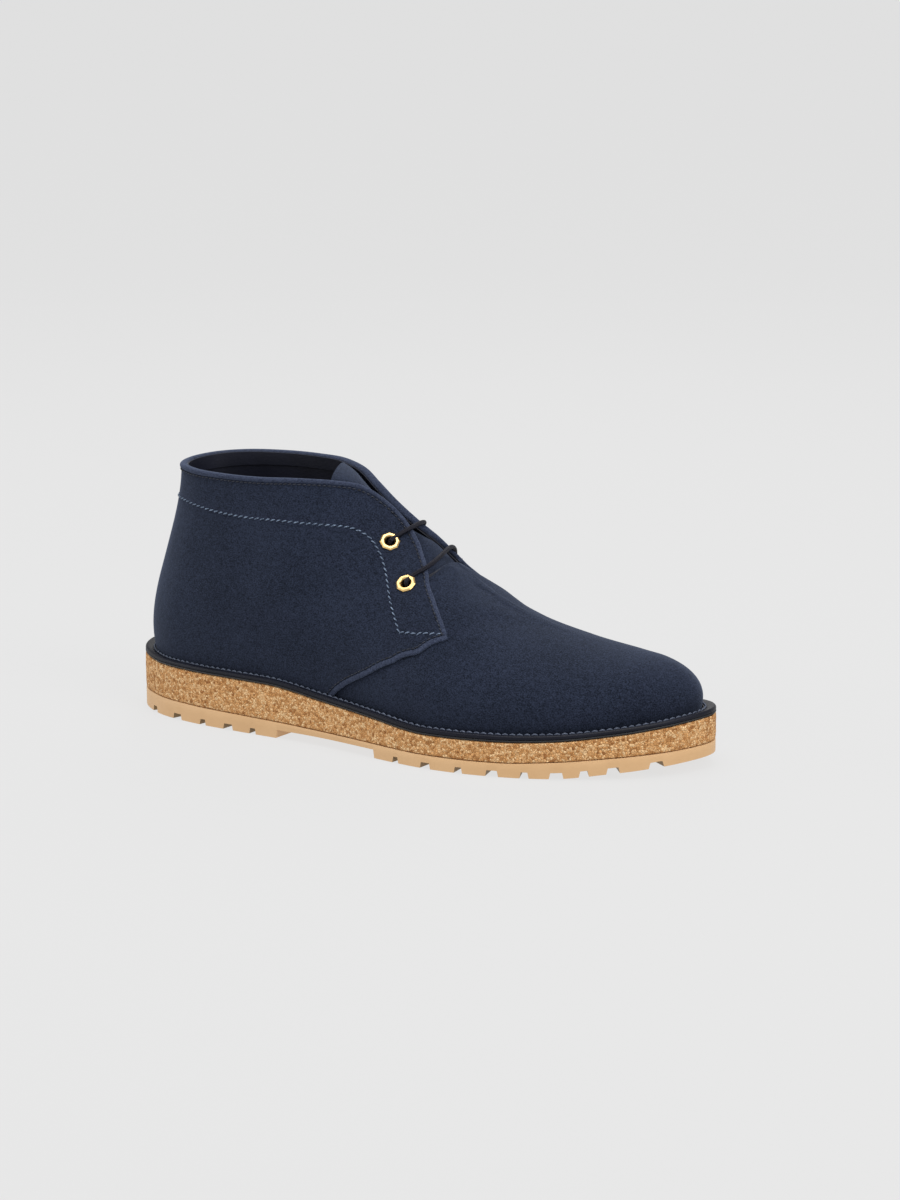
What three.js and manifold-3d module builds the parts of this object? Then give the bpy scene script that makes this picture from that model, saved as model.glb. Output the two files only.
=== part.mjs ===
// A lace-up chukka boot for the right foot, millimetres, +Z up, the toe toward +X.
// +Y is the inner (medial) side of the foot and -Y the outer (lateral) side.
// The boot stands on z = 0. The tables below measure x forward from the back of the heel.
import * as THREE from 'three';
import { mergeVertices } from 'three/addons/utils/BufferGeometryUtils.js';
import Module from 'manifold-3d';

const wasm = await Module();
wasm.setup();

// ---- driving dimensions -------------------------------------------------------------------
const GAP = 0.3; // between neighbouring pieces
const WALL = 2.0; // suede and its lining together
const WELT = { thick: 3.0, side: 5.2, ends: 7.9, lip: 0.4 };
const INSOLE_THICK = 3.5;
const LUG = { depth: 2.8, reach: 15, flare: 0.6, centre: 9 };
const TONGUE = {
  thick: 2.0, sink: 4.9, tuck: 2.4, under: 0.24, arch: 0.36, narrow: 0.04, slip: 0.62,
};
const EYELET = { outer: 8.8, hole: 4.8, barrel: 5.8, flange: 1.1, lift: 0.45, sides: 8 };
const LACE = { radius: 1.1, sides: 10, clear: 0.5 };
const STEPS = { perRow: 2, perEndRow: 4, up: 12 };

// Turns bare rows into objects with named columns.
const named = (columns, rows) => rows.map((row) => Object.fromEntries(
  columns.map((column, index) => [column, row[index]])));

// Heights of the sole's layers along the foot: the tread stands on the ground from the heel
// to the ball and springs up at the toe; the crepe wedge is thick at the heel.
const SOLE = named(['x', 'tread', 'outsole', 'crepe'], [
  [0, 0.6, 9.5, 28.0],
  [30, 0.0, 9.0, 25.7],
  [95, 0.0, 8.0, 25.3],
  [130, 0.0, 7.0, 21.4],
  [160, 0.0, 6.7, 18.6],
  [192, 0.0, 6.3, 15.6],
  [225, 0.0, 6.4, 15.9],
  [250, 0.1, 7.6, 16.9],
  [275, 2.5, 9.6, 19.6],
  [306, 6.2, 12.0, 24.5],
]);

// Gaps between the lugs along the edge, with the width of each.
const LUG_GAPS = named(['x', 'width'], [
  [21.7, 3.1], [40.2, 4.8], [57.6, 2.8], [73.5, 4.8], [88.5, 2.8],
  [175.5, 2.4], [192.5, 4.4], [209.6, 3], [225.7, 4.8], [240.2, 2.8],
  [253.6, 4.8], [264.7, 2.8], [275.9, 4], [291.3, 4],
]);
const ARCH = { from: 103.1, to: 162.1, height: 4.0 };

// Profiles of the last, from the back of the heel (row 0) to the tip of the toe (last row).
// Each rises from the feather line (base) to the collar, the facing edge, the throat or the
// ridge of the instep (top). heading is the plan direction away from the top, lean how far
// the profile has turned inward at its top, lowLean how far it bulges at its base, and low
// and high are the lengths of its two handles as shares of its height. Degrees.
const PROFILE = ['baseX', 'baseY', 'topX', 'topY', 'topZ', 'heading', 'lean', 'lowLean', 'low', 'high'];
const LATERAL = named(PROFILE, [
  [9.8, 0.0, 25.6, 0.0, 124.3, 180, 0, 18, 0.30, 0.34],
  [14.5, -15.5, 29.5, -13.5, 123.6, 222, 0, 18, 0.30, 0.34],
  [30.5, -28.5, 43.0, -22.5, 122.6, 247, 2, 18, 0.30, 0.32],
  [52.0, -34.8, 62.0, -26.2, 122.2, 262, 5, 16, 0.32, 0.30],
  [78.0, -37.7, 84.0, -26.4, 122.2, 268, 8, 16, 0.34, 0.30],
  [103.0, -39.3, 104.0, -23.5, 122.8, 272, 14, 16, 0.35, 0.30],
  [118.0, -40.2, 118.0, -17.0, 122.0, 274, 22, 16, 0.36, 0.30],
  [131.0, -41.6, 130.0, -10.0, 119.8, 274, 32, 15, 0.36, 0.31],
  [145.0, -44.0, 141.0, -5.0, 112.5, 271, 42, 15, 0.36, 0.32],
  [160.0, -47.0, 152.0, -4.0, 102.8, 270, 48, 15, 0.35, 0.32],
  [173.0, -49.5, 161.0, -8.5, 94.5, 270, 51, 15, 0.34, 0.31],
  [184.0, -51.2, 167.0, -13.5, 87.5, 270, 54, 15, 0.34, 0.30],
  [192.0, -52.0, 171.5, -16.5, 82.5, 270, 56, 16, 0.34, 0.29],
  [200.0, -52.0, 173.0, -7.0, 84.0, 286, 74, 16, 0.35, 0.26],
  [209.0, -51.5, 174.0, 4.0, 83.8, 304, 90, 16, 0.36, 0.24],
  [219.0, -50.0, 187.0, 5.5, 75.6, 300, 90, 17, 0.36, 0.25],
  [233.0, -46.5, 207.0, 7.0, 64.4, 290, 90, 20, 0.38, 0.30],
  [250.0, -39.5, 236.0, 8.5, 56.0, 284, 90, 22, 0.40, 0.38],
  [266.0, -30.5, 262.0, 9.5, 51.6, 288, 90, 22, 0.42, 0.43],
  [280.0, -20.0, 270.0, 9.8, 50.4, 304, 90, 20, 0.44, 0.46],
  [290.5, -8.0, 270.0, 9.8, 50.4, 332, 90, 20, 0.46, 0.48],
  [297.8, 10.0, 270.0, 9.8, 50.4, 360, 90, 20, 0.48, 0.48],
]);
const MEDIAL = named(PROFILE, [
  [9.8, 0.0, 25.6, 0.0, 124.3, 180, 0, 18, 0.30, 0.34],
  [14.5, 15.5, 29.5, 13.5, 125.2, 138, 0, 18, 0.30, 0.34],
  [30.5, 28.0, 43.0, 22.5, 126.3, 113, 2, 16, 0.30, 0.32],
  [52.0, 31.0, 62.0, 26.2, 126.8, 98, 5, 14, 0.32, 0.30],
  [78.0, 30.0, 84.0, 26.6, 126.6, 92, 8, 12, 0.34, 0.30],
  [103.0, 28.5, 102.0, 24.0, 125.4, 88, 14, 12, 0.35, 0.30],
  [118.0, 28.0, 115.0, 18.0, 122.8, 86, 22, 13, 0.36, 0.30],
  [131.0, 28.6, 127.0, 10.5, 117.8, 86, 32, 14, 0.36, 0.31],
  [145.0, 30.5, 140.0, 5.0, 110.6, 89, 42, 14, 0.36, 0.32],
  [160.0, 33.5, 152.0, 4.0, 102.6, 90, 48, 14, 0.35, 0.32],
  [173.0, 37.5, 160.5, 9.0, 94.5, 90, 51, 14, 0.34, 0.30],
  [184.0, 40.5, 166.0, 13.0, 87.8, 90, 54, 15, 0.34, 0.28],
  [192.0, 42.8, 170.0, 15.5, 83.0, 90, 56, 16, 0.34, 0.26],
  [200.0, 44.8, 172.8, 11.0, 82.8, 74, 74, 16, 0.35, 0.20],
  [209.0, 46.3, 174.0, 4.0, 83.8, 56, 90, 16, 0.36, 0.20],
  [219.0, 47.2, 187.0, 5.5, 75.6, 60, 90, 17, 0.36, 0.21],
  [233.0, 47.3, 207.0, 7.0, 64.4, 70, 90, 19, 0.38, 0.26],
  [250.0, 45.0, 236.0, 8.5, 56.0, 76, 90, 21, 0.40, 0.36],
  [266.0, 40.8, 262.0, 9.5, 51.6, 72, 90, 22, 0.42, 0.42],
  [281.0, 34.3, 270.0, 9.8, 50.4, 56, 90, 20, 0.44, 0.46],
  [292.0, 24.5, 270.0, 9.8, 50.4, 28, 90, 20, 0.46, 0.48],
  [297.8, 10.0, 270.0, 9.8, 50.4, 0, 90, 20, 0.48, 0.48],
]);
const TOE = LATERAL.length - 1; // the toe's row
const THROAT = 12; // the row at the lower corner of each facing
const RIDGE = 14; // from this row on both sides meet on the ridge
const POLE = 19; // from this row on every profile ends at one point behind the toe
// Fall of the ridge along the foot.
const RIDGE_FALL = named(['x', 'slope'], [
  [150, -0.8], [174, -0.68], [196, -0.6], [220, -0.4], [244, -0.22], [262, -0.17], [300, -0.17],
]);

// ---- curves through tables ----------------------------------------------------------------
// A cubic through values at knots. Each slope is the mean of its two chords, or with
// `level` their harmonic mean, which never overshoots.
function cubic(knots, values, level = false) {
  const chord = (i) => (values[i + 1] - values[i]) / (knots[i + 1] - knots[i]);
  const slopes = values.map((value, i) => {
    if (i === 0) return chord(0);
    if (i === values.length - 1) return chord(i - 1);
    const before = chord(i - 1);
    const after = chord(i);
    if (level) return before * after <= 0 ? 0 : (2 * before * after) / (before + after);
    const left = knots[i] - knots[i - 1];
    const right = knots[i + 1] - knots[i];
    return (right * before + left * after) / (left + right);
  });
  return (at) => {
    let i = knots.findIndex((knot) => knot > at) - 1;
    if (i === -2) i = knots.length - 2;
    i = Math.max(i, 0);
    const length = knots[i + 1] - knots[i];
    const t = THREE.MathUtils.clamp((at - knots[i]) / length, 0, 1);
    return (1 + 2 * t) * (1 - t) ** 2 * values[i] + t * (1 - t) ** 2 * length * slopes[i]
      + t * t * (3 - 2 * t) * values[i + 1] - t * t * (1 - t) * length * slopes[i + 1];
  };
}
const column = (rows, name) => rows.map((row) => row[name]);
const level = (rows, name) => cubic(column(rows, 'x'), column(rows, name), true);
const tread = level(SOLE, 'tread');
const outsoleTop = level(SOLE, 'outsole');
const crepeTop = level(SOLE, 'crepe');
const ridgeSlope = level(RIDGE_FALL, 'slope');

// ---- the last -----------------------------------------------------------------------------
// The ring of profiles: the toe, back along the medial side, the heel, forward along the
// lateral side and the toe again. One extra row past each end keeps the toe smooth.
const ring = [LATERAL[TOE - 1], ...[...MEDIAL].reverse(), ...LATERAL.slice(1), MEDIAL[TOE - 1]];
const HEEL = TOE + 1; // the heel's place in the ring
const toRow = (place) => Math.abs(place - HEEL);
const rowKnot = LATERAL.map(() => 0);
for (let row = 1; row <= TOE; row += 1) {
  const forward = (LATERAL[row].baseX + MEDIAL[row].baseX - LATERAL[row - 1].baseX
    - MEDIAL[row - 1].baseX) / 2;
  const outward = (MEDIAL[row].baseY - LATERAL[row].baseY - MEDIAL[row - 1].baseY
    + LATERAL[row - 1].baseY) / 2;
  rowKnot[row] = rowKnot[row - 1] + Math.hypot(forward, outward);
}
rowKnot.push(2 * rowKnot[TOE] - rowKnot[TOE - 1]);
const ringKnots = ring.map((row, place) => Math.sign(place - HEEL) * rowKnot[toRow(place)]);
const radians = THREE.MathUtils.degToRad;
const ringCubic = (pick) => cubic(ringKnots, ring.map(pick));
const last = Object.fromEntries(
  ['baseX', 'baseY', 'topX', 'topY', 'topZ', 'lean', 'lowLean', 'low', 'high']
    .map((name) => [name, ringCubic((row) => row[name])]));
last.headX = ringCubic((row) => Math.cos(radians(row.heading)));
last.headY = ringCubic((row) => Math.sin(radians(row.heading)));

const knotAt = (row) => {
  const whole = Math.min(Math.floor(row), TOE - 1);
  return rowKnot[whole] + (row - whole) * (rowKnot[whole + 1] - rowKnot[whole]);
};
const UP = new THREE.Vector3(0, 0, 1);

// side is -1 for lateral and 1 for medial; row may be fractional.
const placeOf = (side, row) => -side * knotAt(row);
const topAt = (place) => new THREE.Vector3(last.topX(place), last.topY(place), last.topZ(place));
function featherPoint(side, row) {
  const place = placeOf(side, row);
  const x = last.baseX(place);
  return new THREE.Vector3(x, last.baseY(place), crepeTop(x) + GAP);
}
function featherNormal(side, row) {
  if (row === 0 || row === TOE) return new THREE.Vector3(row === 0 ? -1 : 1, 0, 0);
  const place = placeOf(side, row);
  const step = 0.5;
  const along = new THREE.Vector3(last.baseX(place + step) - last.baseX(place - step),
    last.baseY(place + step) - last.baseY(place - step), 0);
  return new THREE.Vector3(along.y, -along.x, 0).normalize();
}
function profile(side, row) {
  const place = placeOf(side, row);
  const base = featherPoint(side, row);
  const topPlace = placeOf(side, Math.min(row, POLE));
  const top = topAt(topPlace);
  if (row >= RIDGE) top.add(topAt(-topPlace)).multiplyScalar(0.5);
  const reach = top.distanceTo(base);
  const away = new THREE.Vector3(last.headX(place), last.headY(place), 0).normalize();
  away.z = ridgeSlope(top.x) * away.x;
  const lowLean = radians(last.lowLean(place));
  const lean = radians(last.lean(place));
  const low = base.clone()
    .addScaledVector(featherNormal(side, row), last.low(place) * reach * Math.sin(lowLean))
    .addScaledVector(UP, last.low(place) * reach * Math.cos(lowLean));
  const high = top.clone()
    .addScaledVector(away, last.high(place) * reach * Math.sin(lean))
    .addScaledVector(UP, -last.high(place) * reach * Math.cos(lean));
  return new THREE.CubicBezierCurve3(base, low, high, top);
}
// Past the heel or the toe a row goes on along the other side.
function surface(side, row, up) {
  if (row < 0) return profile(-side, -row).getPoint(up);
  if (row > TOE) return profile(-side, 2 * TOE - row).getPoint(up);
  return profile(side, row).getPoint(up);
}
function surfaceNormal(side, row, up) {
  if (row >= POLE && up === 1) {
    return new THREE.Vector3(-ridgeSlope(last.topX(placeOf(side, POLE))), 0, 1).normalize();
  }
  const near = 0.02;
  const before = surface(side, row - near, up);
  const after = surface(side, row + near, up);
  const below = surface(side, row, Math.max(up - near, 0));
  const above = surface(side, row, Math.min(up + near, 1));
  return after.sub(before).cross(above.sub(below)).multiplyScalar(-side).normalize();
}
const sunk = (side, row, up, depth) => surface(side, row, up)
  .addScaledVector(surfaceNormal(side, row, up), -depth);

// ---- meshes -------------------------------------------------------------------------------
const material = (color, roughness, metalness = 0) => new THREE.MeshStandardMaterial({
  color, roughness, metalness,
});
const SUEDE = material(0x232b3d, 0.95);
const WELT_LEATHER = material(0x141a2a, 0.7);
const CREPE = material(0xc08a50, 0.9);
const RUBBER = material(0xd9a969, 0.6);
const FOOTBED = material(0x1c2233, 0.8);
const BRASS = material(0xd9a64e, 0.3, 1);
const CORD = material(0x1d1f2b, 0.85);

function geometryOf(points, faces) {
  const geometry = new THREE.BufferGeometry();
  geometry.setAttribute('position', new THREE.Float32BufferAttribute(
    points.flatMap((point) => [point.x, point.y, point.z]), 3));
  geometry.setIndex(faces.flat());
  return welded(geometry);
}
// Merges shared vertices and drops the triangles that the merge has flattened.
function welded(source) {
  const geometry = source.clone();
  geometry.deleteAttribute('normal');
  geometry.deleteAttribute('uv');
  const merged = mergeVertices(geometry, 1e-3);
  const kept = [];
  const index = merged.index.array;
  for (let i = 0; i < index.length; i += 3) {
    const [a, b, c] = index.slice(i, i + 3);
    if (a !== b && b !== c && c !== a) kept.push(a, b, c);
  }
  merged.setIndex(kept);
  return merged;
}
function solid(geometry) {
  const shape = welded(geometry);
  return new wasm.Manifold(new wasm.Mesh({
    numProp: 3,
    vertProperties: new Float32Array(shape.attributes.position.array),
    triVerts: new Uint32Array(shape.index.array),
  }));
}
function fromSolid(body) {
  const mesh = body.getMesh();
  const geometry = new THREE.BufferGeometry();
  geometry.setAttribute('position', new THREE.BufferAttribute(mesh.vertProperties, 3));
  geometry.setIndex(new THREE.BufferAttribute(mesh.triVerts, 1));
  return geometry;
}
// A closed wall between two equal grids of points, outer and inner: grid[i][j]. The seams
// that lie on each other (a ridge, a pole or a ring's ends) are welded; `rims` lists the
// open edges, as pairs of neighbouring grid places.
function wall(outer, inner, rims) {
  const rows = outer.length;
  const columns = outer[0].length;
  const points = [...outer.flat(), ...inner.flat()];
  const out = (i, j) => i * columns + j;
  const inn = (i, j) => rows * columns + i * columns + j;
  const faces = [];
  for (let i = 0; i + 1 < rows; i += 1) {
    for (let j = 0; j + 1 < columns; j += 1) {
      faces.push([out(i, j), out(i + 1, j), out(i + 1, j + 1)]);
      faces.push([out(i, j), out(i + 1, j + 1), out(i, j + 1)]);
      faces.push([inn(i, j), inn(i + 1, j + 1), inn(i + 1, j)]);
      faces.push([inn(i, j), inn(i, j + 1), inn(i + 1, j + 1)]);
    }
  }
  rims.forEach(([[i, j], [k, l]]) => {
    faces.push([out(i, j), inn(i, j), inn(k, l)]);
    faces.push([out(i, j), inn(k, l), out(k, l)]);
  });
  return geometryOf(points, faces);
}

// ---- the upper ----------------------------------------------------------------------------
// Stations along one side, closer together round the heel and the toe.
const stations = [0];
while (stations.at(-1) < TOE) {
  const row = stations.at(-1);
  stations.push(row + 1 / (row < 2 || row >= TOE - 3 ? STEPS.perEndRow : STEPS.perRow));
}
// Grid columns run round the ring from the toe, medial side first, to the toe.
const ringPlaces = [...[...stations].reverse().map((row) => [1, row]),
  ...stations.slice(1).map((row) => [-1, row])];
const heights = Array.from({ length: STEPS.up + 1 }, (unused, j) => j / STEPS.up);

function upperGeometry() {
  const outer = ringPlaces.map(([side, row]) => heights.map((up) => surface(side, row, up)));
  const inner = ringPlaces.map(([side, row]) => heights.map((up) => {
    const normal = surfaceNormal(side, row, up);
    if (up === 1 && row >= RIDGE) normal.add(surfaceNormal(-side, row, up)).normalize();
    if (up === 0) normal.copy(featherNormal(side, row));
    return surface(side, row, up).addScaledVector(normal, -WALL);
  }));
  const rims = [];
  ringPlaces.slice(1).forEach(([side, row], i) => {
    rims.push([[i, 0], [i + 1, 0]]);
    if (Math.max(row, ringPlaces[i][1]) <= RIDGE) {
      rims.push([[i + 1, STEPS.up], [i, STEPS.up]]);
    }
  });
  return wall(outer, inner, rims);
}

// ---- sole layers --------------------------------------------------------------------------
// The edge of a layer: the feather line moved outward, more at the toe and heel than at the
// sides. Returns matched lateral and medial points from the heel to the toe.
function edge(side, ends) {
  return stations.map((row) => [-1, 1].map((hand) => {
    const normal = featherNormal(hand, row);
    return featherPoint(hand, row).addScaledVector(normal, side + (ends - side) * normal.x ** 2);
  }));
}
// A slab inside an edge, between two heights given along the foot.
function slab(pairs, bottom, top) {
  const lifted = (height) => pairs.map((pair) => pair.map(
    (point) => new THREE.Vector3(point.x, point.y, height(point.x))));
  const low = lifted(bottom);
  const high = lifted(top);
  const rows = pairs.length;
  const points = [...low.flat(), ...high.flat()];
  const at = (i, hand, raised) => 2 * (i + raised * rows) + hand;
  const faces = [];
  for (let i = 0; i + 1 < rows; i += 1) {
    faces.push([at(i, 0, 1), at(i + 1, 0, 1), at(i + 1, 1, 1)], [at(i, 0, 1), at(i + 1, 1, 1), at(i, 1, 1)]);
    faces.push([at(i, 0, 0), at(i + 1, 1, 0), at(i + 1, 0, 0)], [at(i, 0, 0), at(i, 1, 0), at(i + 1, 1, 0)]);
    faces.push([at(i, 0, 0), at(i + 1, 0, 0), at(i + 1, 0, 1)], [at(i, 0, 0), at(i + 1, 0, 1), at(i, 0, 1)]);
    faces.push([at(i, 1, 0), at(i + 1, 1, 1), at(i + 1, 1, 0)], [at(i, 1, 0), at(i, 1, 1), at(i + 1, 1, 1)]);
  }
  return geometryOf(points, faces);
}
const soleEdge = edge(WELT.side, WELT.ends);

// The welt is a flat ring on the crepe. Its inner face follows the bulge of the upper.
function weltGeometry() {
  const sections = ringPlaces.map(([side, row]) => {
    const normal = featherNormal(side, row);
    const foot = featherPoint(side, row);
    const reach = WELT.side + (WELT.ends - WELT.side) * normal.x ** 2;
    const shape = profile(side, row);
    let up = 0;
    while (shape.getPoint(up).z < foot.z + WELT.thick + WELT.lip) up += 0.005;
    const bulge = shape.getPoint(up).sub(foot).dot(normal);
    const lift = (distance, z) => foot.clone().addScaledVector(normal, distance).setZ(z);
    const outside = foot.clone().addScaledVector(normal, reach);
    const floor = crepeTop(outside.x) + GAP;
    return [lift(GAP, foot.z), lift(reach, floor), lift(reach, floor + WELT.thick),
      lift(bulge + GAP, foot.z + WELT.thick)];
  });
  const points = sections.flat();
  const faces = [];
  for (let i = 0; i + 1 < sections.length; i += 1) {
    for (let j = 0; j < 4; j += 1) {
      const [a, b] = [4 * i + j, 4 * i + ((j + 1) % 4)];
      faces.push([a, b + 4, b], [a, a + 4, b + 4]);
    }
  }
  return geometryOf(points, faces);
}

// A prism that flares toward the ground, for cutting a gap between two lugs.
function lugCut(x, width, y) {
  const half = width / 2;
  const height = tread(x) + LUG.depth;
  const shape = new THREE.Shape([
    new THREE.Vector2(-half - LUG.flare, -1), new THREE.Vector2(half + LUG.flare, -1),
    new THREE.Vector2(half, height), new THREE.Vector2(-half, height),
  ]);
  const cut = new THREE.ExtrudeGeometry(shape, { depth: 2 * LUG.reach, bevelEnabled: false });
  cut.translate(0, 0, -LUG.reach);
  cut.rotateX(Math.PI / 2);
  cut.translate(x, y, 0);
  return solid(cut);
}
function outsoleGeometry() {
  let sole = solid(slab(soleEdge, tread, outsoleTop));
  const arch = new THREE.BoxGeometry(ARCH.to - ARCH.from, 200, 2 * ARCH.height);
  arch.translate((ARCH.from + ARCH.to) / 2, 0, 0);
  sole = sole.subtract(solid(arch));
  LUG_GAPS.forEach(({ x, width }) => {
    [-1, 1].forEach((hand) => {
      const near = soleEdge.map((pair) => pair[(hand + 1) / 2])
        .reduce((best, point) => (Math.abs(point.x - x) < Math.abs(best.x - x) ? point : best));
      sole = sole.subtract(lugCut(x, width, near.y));
    });
  });
  // The middle of the heel and of the forefoot is recessed round a row of centre bars.
  const inset = edge(-LUG.reach, -LUG.reach);
  const middle = solid(slab(inset, () => -1, (x) => tread(x) + LUG.depth));
  const bars = [30, 49, 66, 82, 184, 201, 218, 234, 248, 262].map((x) => {
    const bar = new THREE.BoxGeometry(LUG.centre, 200, 30);
    bar.translate(x, 0, 0);
    return solid(bar);
  });
  return fromSolid(sole.subtract(bars.reduce((rest, bar) => rest.subtract(bar), middle)));
}

// ---- tongue -------------------------------------------------------------------------------
// It lies under both facings and bridges the gap between them with a low arch. From the
// upper eyelets down its edges rise to the facings, and its lower end tucks closely under
// the throat of the vamp. Its top is cut askew: the inner side reaches `slip` rows further.
function tongueGeometry() {
  const rows = [5.95, 6.5, 7, 7.5, 8, 8.5, 9, 9.5, 10, 10.5, 11, 11.5, 12, 12.7, 13.4, 14.1];
  const across = 6;
  const { smoothstep, lerp } = THREE.MathUtils;
  const skin = (extra) => rows.map((row) => {
    const buried = lerp(TONGUE.sink, TONGUE.tuck, smoothstep(row, 10, THROAT)) + extra;
    const raised = lerp(TONGUE.sink, TONGUE.tuck, smoothstep(row, 8.6, 10.8)) + extra;
    const inward = 1 - TONGUE.narrow * Math.max(row - THROAT, 0);
    const slip = TONGUE.slip * (1 - smoothstep(row, 6, 9));
    const flank = (side) => [
      [1 - TONGUE.under, buried], [1 - TONGUE.under / 2, buried], [inward, raised],
    ].map(([up, sink]) => sunk(side, side > 0 ? row - slip : row, up, sink));
    const left = flank(-1);
    const right = flank(1);
    const run = (points) => points[2].clone().sub(points[1]).normalize();
    const reach = TONGUE.arch * lerp(0.45, 1, smoothstep(row, 6, 10)) * left[2].distanceTo(right[2]);
    const bridge = new THREE.CubicBezierCurve3(left[2],
      left[2].clone().addScaledVector(run(left), reach),
      right[2].clone().addScaledVector(run(right), reach), right[2]);
    return [...left.slice(0, 2), ...bridge.getPoints(across), right[1], right[0]];
  });
  const outer = skin(0);
  const inner = skin(TONGUE.thick);
  const rims = [];
  const lastRow = outer.length - 1;
  const lastColumn = outer[0].length - 1;
  for (let i = 0; i < lastRow; i += 1) {
    rims.push([[i, 0], [i + 1, 0]], [[i + 1, lastColumn], [i, lastColumn]]);
  }
  for (let j = 0; j < lastColumn; j += 1) {
    rims.push([[0, j + 1], [0, j]], [[lastRow, j], [lastRow, j + 1]]);
  }
  return wall(outer, inner, rims);
}

// ---- eyelets and lace ---------------------------------------------------------------------
// Each eyelet sits on the outer surface of a facing, square to it. `cross` is the row where
// its bar of lace passes over the facing's edge.
const EYELETS = named(['name', 'side', 'row', 'up', 'cross'], [
  ['lateral_upper', -1, 8.67, 0.838, 9.35],
  ['lateral_lower', -1, 10.25, 0.75, 11.6],
  ['medial_upper', 1, 8.67, 0.838, 9.3],
  ['medial_lower', 1, 10.25, 0.75, 11.1],
]);
const seat = ({ side, row, up }) => ({
  centre: surface(side, row, up), axis: surfaceNormal(side, row, up),
});
function eyeletGeometry() {
  const [outer, hole, barrel] = [EYELET.outer / 2, EYELET.hole / 2, EYELET.barrel / 2];
  const rim = EYELET.lift + EYELET.flange;
  const ring = new THREE.LatheGeometry([
    [hole, -WALL], [barrel, -WALL], [barrel, EYELET.lift], [outer, EYELET.lift],
    [outer - 0.3, rim - 0.3], [outer - 1.1, rim], [hole + 0.4, rim], [hole, rim - 0.5], [hole, -WALL],
  ].map(([x, y]) => new THREE.Vector2(x, y)), EYELET.sides);
  return welded(ring.rotateX(Math.PI / 2));
}
function eyeletHole({ centre, axis }) {
  const drill = new THREE.CylinderGeometry(EYELET.barrel / 2 + GAP, EYELET.barrel / 2 + GAP, 12, 12);
  drill.rotateX(Math.PI / 2);
  drill.applyQuaternion(new THREE.Quaternion().setFromUnitVectors(UP, axis));
  drill.translate(centre.x, centre.y, centre.z);
  return solid(drill);
}
// A bar of lace: out of one eyelet, over both facing edges and into the other eyelet.
function laceBar(from, to) {
  const [start, end] = [seat(from), seat(to)];
  const over = ({ side, cross }) => surface(side, cross, 1)
    .addScaledVector(surfaceNormal(side, cross, 1), LACE.radius + LACE.clear);
  const out = (s, lift, lean) => s.centre.clone().addScaledVector(s.axis, lift).addScaledVector(
    (s === start ? end : start).centre.clone().sub(s.centre).normalize(), lean);
  const route = new THREE.CatmullRomCurve3([
    out(start, -1, 0), out(start, 2.1, 0), out(start, 3.8, 0.9),
    over(from), over(to),
    out(end, 3.8, 0.9), out(end, 2.1, 0), out(end, -1, 0),
  ], false, 'centripetal');
  const section = new THREE.Shape(Array.from({ length: LACE.sides }, (unused, i) => {
    const turn = (2 * Math.PI * i) / LACE.sides;
    return new THREE.Vector2(LACE.radius * Math.cos(turn), LACE.radius * Math.sin(turn));
  }));
  return new THREE.ExtrudeGeometry(section, { steps: 28, extrudePath: route, bevelEnabled: false });
}

// ---- assembly -----------------------------------------------------------------------------
const boot = new THREE.Group();
const add = (name, geometry, look) => {
  const mesh = new THREE.Mesh(geometry, look);
  mesh.name = name;
  boot.add(mesh);
  return mesh;
};
add('outsole', outsoleGeometry(), RUBBER);
add('midsole', slab(soleEdge, (x) => outsoleTop(x) + GAP, crepeTop), CREPE);
add('welt', weltGeometry(), WELT_LEATHER);
add('insole', slab(edge(-WALL - GAP, -WALL - GAP), (x) => crepeTop(x) + GAP,
  (x) => crepeTop(x) + GAP + INSOLE_THICK), FOOTBED);
const holes = EYELETS.map((eyelet) => eyeletHole(seat(eyelet)));
add('upper', fromSolid(holes.reduce((rest, hole) => rest.subtract(hole), solid(upperGeometry()))), SUEDE);
add('tongue', tongueGeometry(), SUEDE);
EYELETS.forEach((eyelet) => {
  const { centre, axis } = seat(eyelet);
  const ring = add(`eyelet_${eyelet.name}`, eyeletGeometry(), BRASS);
  ring.position.copy(centre);
  ring.quaternion.setFromUnitVectors(UP, axis);
});
add('lace_bar_upper', laceBar(EYELETS[0], EYELETS[2]), CORD);
add('lace_bar_lower', laceBar(EYELETS[1], EYELETS[3]), CORD);

// The origin is under the middle of the boot's box.
const box = new THREE.Box3().setFromObject(boot);
boot.position.set(-(box.min.x + box.max.x) / 2, -(box.min.y + box.max.y) / 2, 0);

export default boot;
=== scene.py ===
# %% [markdown]
# # A chukka boot
# This is the right boot of a pair: a navy suede upper with two pairs of brass eyelets,
# sewn to a leather welt over a crepe wedge and a lugged gum outsole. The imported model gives
# the frame: every piece below is made in that frame, in metres, with the toe toward +X,
# the inner side of the foot toward +Y and the floor at z = 0.

# %% Load the frame and keep its box
import math

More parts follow.
